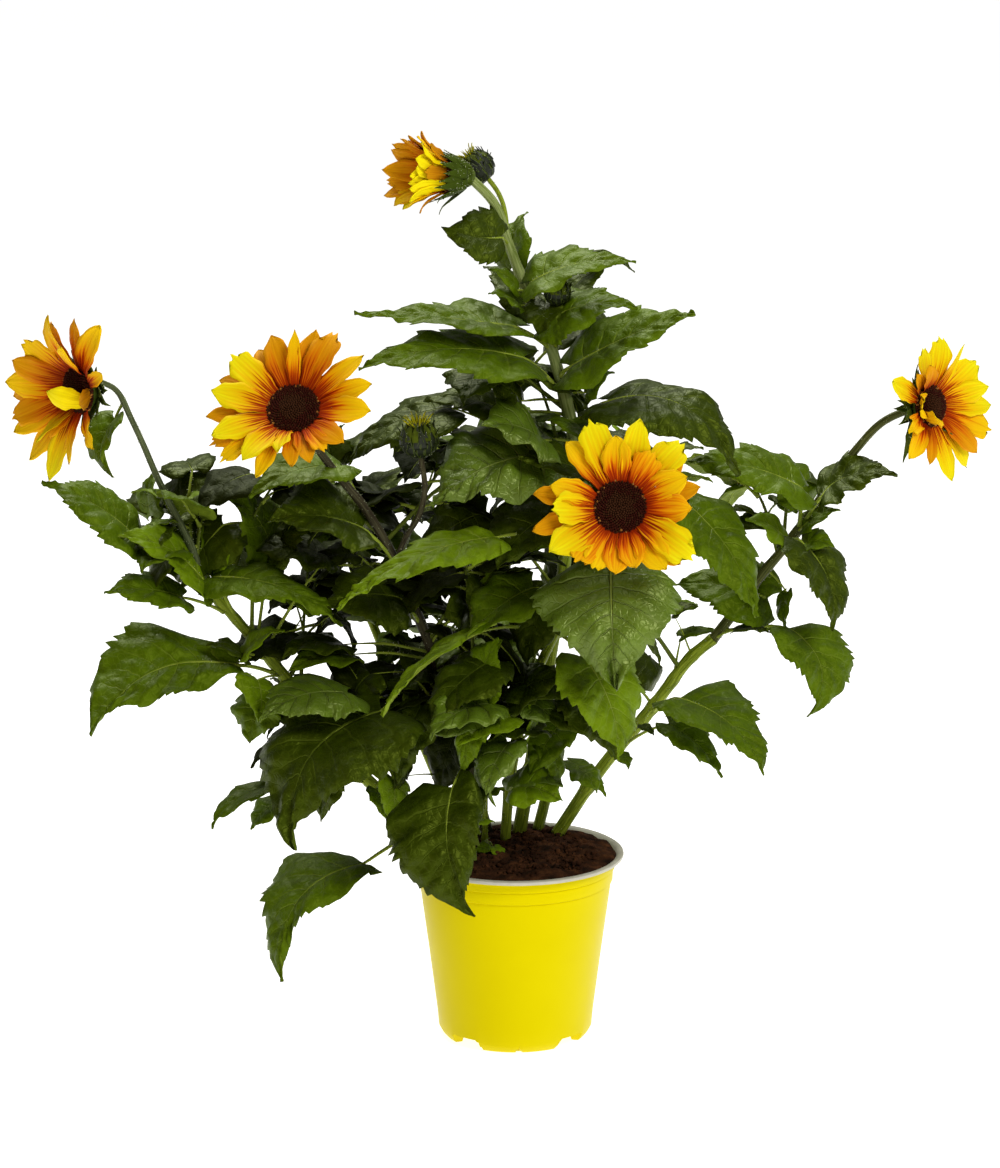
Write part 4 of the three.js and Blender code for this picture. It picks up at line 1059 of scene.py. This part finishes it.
def growBud(name, radius):
    dice = random.Random(name)
    rings, tip = ringsOf(name)
    centres = np.array([ring.mean(0) for ring in rings])
    neck = centres[4]  # the fifth ring, where the head starts
    facing, height = unit(tip - neck), np.linalg.norm(tip - neck)
    side = levelSide(facing)
    upper = np.cross(facing, side)
    inward = unit(centres[0] - centres[1])
    way = np.vstack([centres[0] + inward * 3 * mm, centres[:5], neck + facing * 0.15 * height])
    path = smoothPath(way, budForm["stalkStations"])
    radii = np.full(len(path), np.linalg.norm(rings[1] - centres[1], axis=1).mean())
    stemHeap = purpleHeap if name == "bud_left" else greenHeap
    addShape(stemHeap, tubePoints(path, radii, budForm["stalkSides"]), budStalk)
    hairyLimbs.append((path, radii))
    r, h = radius, min(height / mm, 1.85 * radius)
    polar = [math.radians(angle) for angle in budForm["globe"]]
    globe = [(r * 0.9 * math.sin(a), h * (0.5 - 0.46 * math.cos(a))) for a in polar]
    latheInto(budHeap, globe, budForm["globeSides"], neck, facing, side)
    for row, (number, start, reach, wide, flick) in enumerate(budForm["rows"]):
        for k in range(number):
            angle = 2 * math.pi * (k + 0.37 * row) / number + dice.uniform(-0.14, 0.14)
            out = spoke(side, upper, angle)
            low, long = math.radians(start), reach * dice.uniform(0.9, 1.12)
            foot = neck + (out * r * 0.93 * math.sin(low) + facing * h * (0.5 - 0.48 * math.cos(low))) * mm
            lift = (start + 2, start + math.degrees(long) * 0.92 + dice.uniform(-8, 8))
            twist, bend = dice.uniform(-14, 14), dice.uniform(-0.08, 0.08)
            points = strapPoints(bractShape, bractForm, foot, out, facing, r * long * mm, r * wide * mm, lift,
                                 bractForm["cup"], twist, bend, flick + dice.uniform(-30, 20))
            addShape(budHeap, points, bractShape, 2 if row > 2 else 0)
            growHairs(points, budForm["scaleHairs"], out, (0.7, 1.4), dice)
    for i in range(budForm["tuft"]):  # the tips of the closed rays and inner scales fan out of its mouth
        share = math.sqrt((i + 0.5) / budForm["tuft"])
        out = spoke(side, upper, i * 2.4)
        foot = neck + (facing * h * 0.88 + out * r * 0.4 * share) * mm
        length, lift = r * dice.uniform(0.4, 0.7) * mm, (88 - 40 * share, 88 - 55 * share)
        points = strapPoints(bractShape, bractForm, foot, out, facing, length, r * 0.09 * mm, lift,
                             0.1, 0, dice.uniform(-0.1, 0.1), -20)
        addShape(budHeap, points, bractShape, 4)


for name, radius in buds.items():
    growBud(name, radius)
print("buds are grown")


# Hairs on all green limbs

hairForm = {"gap": 1.6 * mm, "length": (0.8, 2.0)}  # how far apart along a limb, and millimetres
dice = random.Random("hairs")
for path, radii in hairyLimbs:
    length = np.linalg.norm(np.diff(path, axis=0), axis=1).sum()
    for _ in range(int(length / hairForm["gap"])):
        i = dice.randrange(len(path) - 1)
        way = unit(path[i + 1] - path[i])
        side = levelSide(way)
        angle = dice.uniform(0, 2 * math.pi)
        out = spoke(side, np.cross(way, side), angle)
        spot = path[i] + (path[i + 1] - path[i]) * dice.random() + out * radii[i] * 0.95
        lean = unit(out + way * dice.uniform(-0.3, 0.3))
        addShape(hairHeap, placed(hair["solid"], spot, lean, mm * dice.uniform(*hairForm["length"])), hair)


# Finishes of the plant

# Leaf blade, a living leaf with a thin wax skin: half gloss, veins let into its upper side and raised below.
# The skin between the veins puffs up: puffs = (cells per metre, height in millimetres).
def leafFinish(name, colour, veinColour, roughness, gloss, puffs, upperSide):
    leaf, tree, shader = startMaterial(name, colour, roughness, {
        "Specular IOR Level": gloss, "Specular Tint": linear("#dce8a0" if gloss > 0.8 else "#c4d850")})
    pattern = addNode(tree, "UVMap", uv_map="pattern")
    place = addNode(tree, "TexCoord", output="Object")
    along, across, _ = addNode(tree, "SeparateXYZ", {0: pattern}).node.outputs
    edge = addNode(tree, "Math", {0: across}, operation="ABSOLUTE")
    midrib = addNode(tree, "MapRange", {
        "Value": edge, "From Min": 0.01, "From Max": 0.036, "To Min": 1.0, "To Max": 0.0},
        interpolation_type="SMOOTHSTEP")
    sway = addNode(tree, "TexNoise", {"Vector": pattern, "Scale": 5.0, "Detail": 1.0})
    bent = addNode(tree, "Math", {0: sway, 1: 0.03, 2: along}, operation="MULTIPLY_ADD")
    toVein = addNode(tree, "Math", {0: bent, 1: bladeForm["veinGap"] / 2}, operation="PINGPONG")
    sideVein = addNode(tree, "MapRange", {
        "Value": toVein, "From Min": 0.001, "From Max": 0.009, "To Min": 0.62, "To Max": 0.0},
        interpolation_type="SMOOTHSTEP")
    fading = addNode(tree, "MapRange", {
        "Value": edge, "From Min": 0.1, "From Max": 0.9, "To Min": 1.0, "To Max": 0.1})
    sideVein = addNode(tree, "Math", {0: sideVein, 1: fading}, operation="MULTIPLY")
    network = addNode(tree, "TexVoronoi", {"Vector": place, "Scale": 200.0}, feature="DISTANCE_TO_EDGE")
    faint = 0.06 if gloss > 0.8 else 0.13
    fineVein = addNode(tree, "MapRange", {
        "Value": network, "From Min": 0.0, "From Max": 0.12, "To Min": faint, "To Max": 0.0})
    veins = addNode(tree, "Math", {0: midrib, 1: sideVein}, operation="MAXIMUM")
    veins = addNode(tree, "Math", {0: veins, 1: fineVein}, operation="MAXIMUM")
    blotch = addNode(tree, "TexNoise", {"Vector": place, "Scale": 55.0, "Detail": 4.0})
    low, high = (tuple(c * shade for c in linear(colour)[:3]) + (1,) for shade in (0.5, 1.45))
    ground = addNode(tree, "Mix", {0: blotch, 6: low, 7: high}, 2, data_type="RGBA")
    shown = addNode(tree, "Math", {0: veins, 1: 0.6 if upperSide else 0.8}, operation="MULTIPLY")
    skin = addNode(tree, "Mix", {0: shown, 6: ground, 7: linear(veinColour)}, 2, data_type="RGBA")
    puff = addNode(tree, "TexVoronoi", {
        "Vector": place, "Scale": puffs[0], "Smoothness": 1.0}, feature="SMOOTH_F1")
    dome = addNode(tree, "Math", {0: puff, 1: puff}, operation="MULTIPLY")  # round, without a point
    domeRise, veinRise = (-1.7, -0.6) if upperSide else (1.4, 0.7)
    relief = addNode(tree, "Math", {0: dome, 1: domeRise, 2: 1.0}, operation="MULTIPLY_ADD")
    relief = addNode(tree, "Math", {0: veins, 1: veinRise, 2: relief}, operation="MULTIPLY_ADD")
    bump = addNode(tree, "Bump", {"Strength": 0.9, "Distance": puffs[1] * mm, "Height": relief})
    worn = addNode(tree, "MapRange", {
        "Value": blotch, "From Min": 0.3, "From Max": 0.7,
        "To Min": roughness - 0.02, "To Max": roughness + 0.04})
    feed(tree, shader, {"Base Color": skin, "Normal": bump, "Roughness": worn})
    return leaf


leafFinishes = []
for name, colour, underColour, veinColour, roughness, gloss, puffs in [
        # the first, dark: partly the leaves' own deep green and partly painted shade
        ("dark", "#2a3602", "#48570e", "#56641c", 0.42, 0.5, (115.0, 2.6)),
        ("middle", "#465b02", "#62731c", "#7e8f32", 0.45, 0.45, (125.0, 2.3)),
        ("bright", "#5e7606", "#74852a", "#9cac4c", 0.48, 0.4, (125.0, 2.3)),
        ("glossy", "#526812", "#5c6d1c", "#8a9a50", 0.4, 1.0, (36.0, 7.5)),
        # the last: a near black copy of the leaf finish, painted shade for leaves deep inside the foliage
        ("shaded", "#161c03", "#1e260a", "#343c10", 0.5, 0.2, (120.0, 2.0))]:
    leafFinishes.append(leafFinish(f"{name}LeafUpperSide", colour, veinColour, roughness, gloss, puffs, True))
    leafFinishes.append(leafFinish(f"{name}LeafUnderSide", underColour, veinColour, 0.6, 0.2, puffs, False))


# Stem skin, a ribbed green rind under hairs: satin, with paler streaks along it, 2 mm apart on a stout stem.
def stemFinish(name, colour, streakColour, roughness):
    stem, tree, shader = startMaterial(name, colour, roughness, {
        "Specular IOR Level": 0.25, "Specular Tint": linear("#e6ec9c")})
    pattern = addNode(tree, "UVMap", uv_map="pattern")
    drawnOut = addNode(tree, "Mapping", {"Vector": pattern, "Scale": (14.0, 22.0, 1.0)})
    streaks = addNode(tree, "TexNoise", {"Vector": drawnOut, "Scale": 1.0, "Detail": 4.0})
    share = addNode(tree, "MapRange", {"Value": streaks, "From Min": 0.35, "From Max": 0.68})
    rind = addNode(tree, "Mix", {0: share, 6: linear(colour), 7: linear(streakColour)}, 2, data_type="RGBA")
    bump = addNode(tree, "Bump", {"Strength": 0.5, "Distance": 0.4 * mm, "Height": streaks})
    feed(tree, shader, {"Base Color": rind, "Normal": bump})
    return stem


greenRind = stemFinish("greenStemRind", "#566608", "#97a632", 0.5)
purpleRind = stemFinish("purpleStemRind", "#241a18", "#4e4a36", 0.45)
duskRind = stemFinish("duskyStemRind", "#262a0c", "#5c6030", 0.45)
greyRind = stemFinish("greyGreenStemRind", "#343a26", "#646e4c", 0.5)
paleRind = stemFinish("paleHairyStemRind", "#5c6a2c", "#9aa66a", 0.5)
stalkRind = stemFinish("leafStalkRind", "#6c7e14", "#a2b048", 0.5)
twigRind = stemFinish("twigRind", "#3e4a0e", "#6c7a2c", 0.5)


# Ray, a soft petal: matt, dark red streaks run from its foot into the yellow, fine darker lines follow its
# length, partly the ray's own lines and partly painted shade in its grooves.
def rayFinish(name, stops, streakColour, shiftAside):
    ray, tree, shader = startMaterial(name, stops[-1][1], 0.6, {
        "Specular IOR Level": 0.15, "Specular Tint": linear("#ffd860")})
    pattern = addNode(tree, "UVMap", uv_map="pattern")
    along, across, _ = addNode(tree, "SeparateXYZ", {0: pattern}).node.outputs
    drawnOut = addNode(tree, "Mapping", {
        "Vector": pattern, "Location": (0.0, shiftAside, 0.0), "Scale": (0.7, 4.6, 1.0)})
    streaks = addNode(tree, "TexNoise", {"Vector": drawnOut, "Scale": 1.5, "Detail": 3.0})
    shift = addNode(tree, "MapRange", {
        "Value": streaks, "From Min": 0.36, "From Max": 0.64, "To Min": 0.17, "To Max": -0.17})
    place = addNode(tree, "Math", {0: along, 1: shift}, operation="ADD")
    tint = addNode(tree, "ValToRGB", {0: place}, stops=stops)
    reach = addNode(tree, "MapRange", {
        "Value": along, "From Min": 0.08, "From Max": 0.75, "To Min": 0.38, "To Max": 0.8})
    over = addNode(tree, "Math", {0: streaks, 1: reach}, operation="SUBTRACT")
    red = addNode(tree, "MapRange", {"Value": over, "From Min": 0.0, "From Max": 0.08, "To Max": 0.7})
    flushed = addNode(tree, "Mix", {0: red, 6: tint, 7: linear(streakColour)}, 2, data_type="RGBA")
    lines = addNode(tree, "Math", {0: across, 1: 0.14}, operation="PINGPONG")
    # darker fine lines: partly the ray's own lines, partly painted shade in the grooves between them
    lineAndGrooveShade = addNode(tree, "MapRange", {
        "Value": lines, "From Min": 0.0, "From Max": 0.1, "To Min": 0.13, "To Max": 0.0})
    skin = addNode(tree, "Mix", {0: lineAndGrooveShade, 6: flushed, 7: linear("#c48a40")}, 2,
                   data_type="RGBA", blend_type="MULTIPLY")
    bump = addNode(tree, "Bump", {"Strength": 0.6, "Distance": 0.6 * mm, "Height": lines})
    feed(tree, shader, {"Base Color": skin, "Normal": bump})
    return ray


rayFinishes = []
goldStops = [(0, "#5e0e02"), (0.2, "#a02c02"), (0.34, "#cc5c02"), (0.48, "#e09b05"), (0.72, "#e6b408"),
             (1, "#eac20a")]
lemonStops = [(0, "#6a1402"), (0.15, "#a43602"), (0.27, "#d88204"), (0.42, "#e2b406"), (0.68, "#e4ca08"),
              (1, "#e4da10")]
# amber: a deeper orange, partly the rays' own tone and partly painted shade for rays in shadow or tucked
# behind
amberStops = [(0, "#601202"), (0.16, "#9c3402"), (0.34, "#c46004"), (0.58, "#cf8405"), (1, "#d89a0a")]
flameStops = [(0, "#560a02"), (0.2, "#8c2002"), (0.36, "#bc4602"), (0.54, "#d87c04"), (0.78, "#e4a008"),
              (1, "#e8b20a")]
goldBack = [(0, "#c08806"), (0.5, "#dca808"), (1, "#eabe0a")]
lemonBack = [(0, "#e0c406"), (0.4, "#f2da08"), (1, "#f6e614")]
amberBack = [(0, "#925804"), (0.5, "#b47206"), (1, "#c98c0c")]
for k, (name, stops, backStops) in enumerate([
        ("gold", goldStops, goldBack), ("goldOther", goldStops, goldBack), ("amber", amberStops, amberBack),
        ("lemon", lemonStops, lemonBack), ("lemonOther", lemonStops, lemonBack),
        ("flame", flameStops, goldBack)]):
    rayFinishes.append(rayFinish(f"{name}RayUpperSide", stops, "#8e2002", 3.7 * k))
    rayFinishes.append(rayFinish(f"{name}RayUnderSide", backStops, backStops[0][1], 3.7 * k + 1.6))


# Two tints in blotches over an uneven skin: blotches = (scale, detail), unevenness = (strength, distance).
def blotchedFinish(name, colour, roughness, sockets, tints, blotches, unevenness):
    blotched, tree, shader = startMaterial(name, colour, roughness, sockets)
    place = addNode(tree, "TexCoord", output="Object")
    blotch = addNode(tree, "TexNoise", {"Vector": place, "Scale": blotches[0], "Detail": blotches[1]})
    tint = addNode(tree, "Mix", {0: blotch, 6: linear(tints[0]), 7: linear(tints[1])}, 2, data_type="RGBA")
    bump = addNode(tree, "Bump", {"Strength": unevenness[0], "Distance": unevenness[1], "Height": blotch})
    feed(tree, shader, {"Base Color": tint, "Normal": bump})
    return blotched


# Small parts that are too fine to carry veins keep a blotched skin of their own tint.
def softFinish(name, colour, otherColour, roughness, scale):
    sockets = {"Specular IOR Level": 0.12, "Specular Tint": linear(otherColour)}
    tints = (colour, otherColour)
    return blotchedFinish(name, colour, roughness, sockets, tints, (scale, 3.0), (0.3, 0.3 * mm))


# Outer scale of a bud: near black in the middle, its thin margins catch the light.
budScale, budTree, budShader = startMaterial("budScales", "#141a08", 0.5, {"Specular IOR Level": 0.3})
budPattern = addNode(budTree, "UVMap", uv_map="pattern")
budAcross = addNode(budTree, "SeparateXYZ", {0: budPattern}, 1)
budEdge = addNode(budTree, "Math", {0: budAcross}, operation="ABSOLUTE")
budMargin = addNode(budTree, "MapRange", {
    "Value": budEdge, "From Min": 0.75, "From Max": 1.0, "To Max": 0.8}, interpolation_type="SMOOTHSTEP")
budSkin = addNode(budTree, "Mix", {
    0: budMargin, 6: linear("#141a08"), 7: linear("#5c6c24")}, 2, data_type="RGBA")
budGrain = addNode(budTree, "TexNoise", {"Vector": budPattern, "Scale": 12.0, "Detail": 2.0})
budBump = addNode(budTree, "Bump", {"Strength": 0.4, "Distance": 0.4 * mm, "Height": budGrain})
feed(budTree, budShader, {"Base Color": budSkin, "Normal": budBump})

discFinishes = [
    softFinish("darkFlorets", "#240e0a", "#481f16", 0.7, 600.0),  # unopened florets: dull, almost black
    softFinish("brownFlorets", "#2e1a10", "#4a2c1a", 0.75, 600.0),  # the younger middle: a shade lighter
    softFinish("pollenTips", "#7a431c", "#b07a3c", 0.8, 600.0)]  # opened florets round the edge
bractFinish = softFinish("greenBracts", "#222c06", "#485818", 0.55, 160.0)  # hairy scales under the rays
bractUnder = softFinish("greenBractsInside", "#323e0e", "#566624", 0.6, 160.0)
scaleFinish = softFinish("innerBudScales", "#1c240a", "#5a661a", 0.6, 200.0)  # younger scales: yellower
scaleUnder = softFinish("innerBudScalesInside", "#2e360c", "#5c6420", 0.6, 200.0)
budInside = softFinish("budScalesInside", "#141a08", "#2a340e", 0.6, 200.0)
tuftFinish = softFinish("closedRays", "#7a8014", "#c0b420", 0.7, 300.0)  # tips of rays shut in a bud
hairFinish = softFinish("plantHairs", "#b9c294", "#dfe4c8", 0.6, 200.0)  # stiff clear hairs, pale in light
budFinishes = [budInside, budScale, scaleUnder, scaleFinish, tuftFinish, tuftFinish]

inBack = [name for name in sprays if name.startswith("mass_back")]
inFront = [name for name in sprays if name not in inBack]
for heap, name, finishes, slotName, replaced in [
        (leafHeap, "leaves", leafFinishes, "leaf", list(leafTones)),
        (lesserHeap, "lesserLeaves", leafFinishes, "foliage", []),
        (sprayHeap, "sprayLeaves", leafFinishes, "foliage", inFront),
        (backHeap, "backSprayLeaves", leafFinishes, "foliage", inBack),
        (stalkHeap, "leafStalks", [stalkRind], "stem", []),
        (twigHeap, "twigs", [twigRind], "stem", []),
        (greenHeap, "greenStems", [greenRind, duskRind, paleRind], "stem", greenStems),
        (purpleHeap, "purpleStems", [purpleRind, greyRind], "purple_stem", purpleStems),
        (rayHeap, "rays", rayFinishes, "bloom", list(blooms)),
        (discHeap, "discFlorets", discFinishes, "bloom", []),
        (cupHeap, "cups", [bractUnder, bractFinish], "bud", []),
        (budHeap, "budHeads", budFinishes, "bud", list(buds)),
        (hairHeap, "hairs", [hairFinish], "stem", [])]:
    finishPiece(makePiece(heap, name, finishes), replaced)


# Pot, rim and soil

def turnedShell(name, profile, sides, closed):
    # a circle drawn out along a profile of (radius, height) in millimetres; closed joins its end to its start
    deselectAll()
    radius, height = profile[0]
    bpy.ops.mesh.primitive_circle_add(vertices=sides, radius=radius * mm, location=(0, 0, 0),
                                      fill_type="NOTHING" if closed else "TRIFAN")
    shell = bpy.context.object
    shell.name = name
    bpy.ops.object.mode_set(mode="EDIT")
    bpy.ops.mesh.select_all(action="SELECT")
    bpy.ops.transform.translate(value=(0, 0, height * mm))
    for nextRadius, nextHeight in profile[1:] + profile[:1] * closed:
        move = {"value": (0, 0, (nextHeight - height) * mm)}
        if closed:
            bpy.ops.mesh.extrude_edges_move(TRANSFORM_OT_translate=move)
        else:
            bpy.ops.mesh.extrude_region_move(TRANSFORM_OT_translate=move)
        scale = nextRadius / radius
        bpy.ops.transform.resize(value=(scale, scale, 1), center_override=(0, 0, nextHeight * mm))
        radius, height = nextRadius, nextHeight
    bpy.ops.mesh.select_all(action="SELECT")
    if closed:
        bpy.ops.mesh.remove_doubles(threshold=0.01 * mm)
    bpy.ops.mesh.normals_make_consistent(inside=False)
    bpy.ops.object.mode_set(mode="OBJECT")
    return shell


def smoothShell(shell, sharpFrom):  # edges sharper than sharpFrom degrees stay sharp
    deselectAll()
    shell.select_set(True)
    bpy.context.view_layer.objects.active = shell
    bpy.ops.object.shade_smooth_by_angle(angle=math.radians(sharpFrom))


potForm = {
    "sides": 240, "sharpFrom": 34,
    "profile": [(46, 8.6), (48.6, 8.4), (49.4, 0), (51, 0), (55.4, 0.4), (58, 3.4), (60.3, 7.6), (61.4, 20),
                (67.8, 70), (75.1, 124.2), (74.8, 125.8), (76.4, 126.6), (76.9, 134.4), (76.5, 135.8),
                (78.1, 136.6), (78.6, 144.4), (77.2, 144.4), (76, 136), (74, 126), (58, 12.4), (56, 11.2),
                (44, 11), (40, 11)],
    # the foot: its inner radius, width and height, and the radius past which it has nicks too
    "footInner": 49, "footWidth": 9.6, "footHeight": 8.9, "nickFrom": 53,
    # arches and nicks: degrees or millimetres, and how far the arches' sides slope
    "archTurn": 48, "archHalf": 14, "archHeight": 9, "archSlope": 3.2, "nickHalf": 3, "nickHeight": 5,
}
pot = turnedShell("potShell", potForm["profile"], potForm["sides"], False)
for vertex in pot.data.vertices:  # the foot stands on four lobes with an arch between each two
    x, y, z = vertex.co
    radius = math.hypot(x, y) / mm
    if radius > potForm["footInner"] and z < potForm["footHeight"] * mm:
        turn = (math.degrees(math.atan2(y, x)) - potForm["archTurn"]) % 90
        toArch, toNick = min(turn, 90 - turn), abs(turn - 45)
        opened = min(1, max(0, (potForm["archHalf"] - toArch) / potForm["archSlope"]))
        rise = potForm["archHeight"] * opened ** 0.6
        if radius > potForm["nickFrom"]:
            rise = max(rise, potForm["nickHeight"] * max(0, 1 - toNick / potForm["nickHalf"]))
        share = (radius - potForm["footInner"]) / potForm["footWidth"]
        vertex.co.z = max(z, rise * mm * (0.97 + 0.03 * share))
smoothShell(pot, potForm["sharpFrom"])

# polypropylene, injection moulded: an even soft gloss with a very faint orange peel of about 4 mm
plastic, plasticTree, plasticShader = startMaterial("yellowPolypropylene", "#dccb00", 0.36, {
    "IOR": 1.49, "Specular IOR Level": 0.12, "Specular Tint": linear("#ffec30")})
plasticPlace = addNode(plasticTree, "TexCoord", output="Object")
peel = addNode(plasticTree, "TexNoise", {"Vector": plasticPlace, "Scale": 260.0, "Detail": 2.0})
cloud = addNode(plasticTree, "TexNoise", {"Vector": plasticPlace, "Scale": 18.0, "Detail": 3.0})
plasticTint = addNode(plasticTree, "Mix", {
    0: cloud, 6: linear("#dac800"), 7: linear("#e2d200")}, 2, data_type="RGBA")
plasticGloss = addNode(plasticTree, "MapRange", {"Value": cloud, "To Min": 0.32, "To Max": 0.46})
plasticBump = addNode(plasticTree, "Bump", {"Strength": 0.08, "Distance": 0.2 * mm, "Height": peel})
feed(plasticTree, plasticShader, {
    "Base Color": plasticTint, "Roughness": plasticGloss, "Normal": plasticBump})
pot.data.materials.append(plastic)
finishPiece(pot, ["pot"])

rimForm = {
    "sides": 200, "sharpFrom": 40,
    "profile": [(73.4, 138), (74.4, 138), (76.6, 143.4), (79.4, 144.6), (84, 144.7), (84.8, 145.3),
                (85, 146.3), (84.8, 147.3), (84.1, 147.8), (83, 148), (81.6, 148), (80, 147.3),
                (78.8, 145.8)],
}
rim = turnedShell("rimRing", rimForm["profile"], rimForm["sides"], True)
smoothShell(rim, rimForm["sharpFrom"])
# grey polypropylene from reground stock: matt and faintly mottled
greyPlastic = blotchedFinish("greyPolypropylene", "#9b9b98", 0.45, {"IOR": 1.49}, ("#a5a298", "#d0ccbe"),
                             (120.0, 4.0), (0.15, 0.3 * mm))
rim.data.materials.append(greyPlastic)
finishPiece(rim, ["pot_rim"])

soilForm = {
    "sides": 120, "rings": 36, "slope": 9, "top": 148.6, "edge": 146, "radius": 79.2,
    "side": [(52, 13), (73, 120), (74.6, 128), (75.4, 136), (76.6, 143.4)],  # against the pot's wall
    "lumps": [(60, 2.2), (170, 1.7), (420, 0.9)], "lumpsFrom": 140,  # (per metre, height), above this height
    "crumbs": 1500, "crumbSizes": [0.6, 0.8, 0.9, 1.2, 1.6, 2.4], "crumbRadius": 75, "flatRadius": 60,
}
soilHeap = newHeap()
soilProfile = soilForm["side"] + [
    (soilForm["radius"] * (1 - i / soilForm["rings"]),
     soilForm["edge"] + (soilForm["top"] - soilForm["edge"]) * min(1, i / soilForm["slope"]) ** 0.6)
    for i in range(soilForm["rings"])]
upright, sideways = np.array([0, 0, 1.0]), np.array([1.0, 0, 0])
latheInto(soilHeap, soilProfile, soilForm["sides"], np.zeros(3), upright, sideways)
for point in soilHeap["points"][0]:
    if point[2] > soilForm["lumpsFrom"] * mm:
        spot = Vector(point)
        point[2] += sum(noise.noise(spot * scale) * height for scale, height in soilForm["lumps"]) * mm
deselectAll()
bpy.ops.mesh.primitive_ico_sphere_add(subdivisions=1, radius=1)
crumb = bpy.context.object
crumbSolid = np.array([v.co for v in crumb.data.vertices])
flat = np.zeros((len(crumbSolid), 2))
crumbShape = shapeOf(crumb, flat, flat)
bpy.data.objects.remove(crumb)
dice = random.Random("crumbs")
for _ in range(soilForm["crumbs"]):
    far, angle = soilForm["crumbRadius"] * math.sqrt(dice.random()), dice.uniform(0, 2 * math.pi)
    size = dice.choice(soilForm["crumbSizes"])
    height = soilForm["top"] - max(0, far - soilForm["flatRadius"]) * 0.28 + dice.uniform(-0.6, 1.0)
    spot = np.array([far * math.cos(angle), far * math.sin(angle), height]) * mm
    rough = crumbSolid * np.array([[dice.uniform(0.6, 1.3) for _ in range(3)] for _ in crumbSolid])
    addShape(soilHeap, placed(rough, spot, unit(scatter(1, dice)), size * mm), crumbShape)
# peat and bark compost, crumbly and damp: dull dark red-brown grains of 1 to 4 mm
peat, peatTree, peatShader = startMaterial("peatCompost", "#2a160d", 0.95, {"Specular IOR Level": 0.1})
peatPlace = addNode(peatTree, "TexCoord", output="Object")
grains = addNode(peatTree, "TexVoronoi", {"Vector": peatPlace, "Scale": 420.0})
peatShade = addNode(peatTree, "TexNoise", {"Vector": peatPlace, "Scale": 90.0, "Detail": 6.0})
peatStops = [(0.3, "#180c05"), (0.5, "#341c0f"), (0.72, "#56341e")]
peatTint = addNode(peatTree, "ValToRGB", {0: peatShade}, stops=peatStops)
peatBump = addNode(peatTree, "Bump", {"Strength": 0.8, "Distance": 1 * mm, "Height": grains})
feed(peatTree, peatShader, {"Base Color": peatTint, "Normal": peatBump})
finishPiece(makePiece(soilHeap, "soilFill", [peat]), ["soil"])
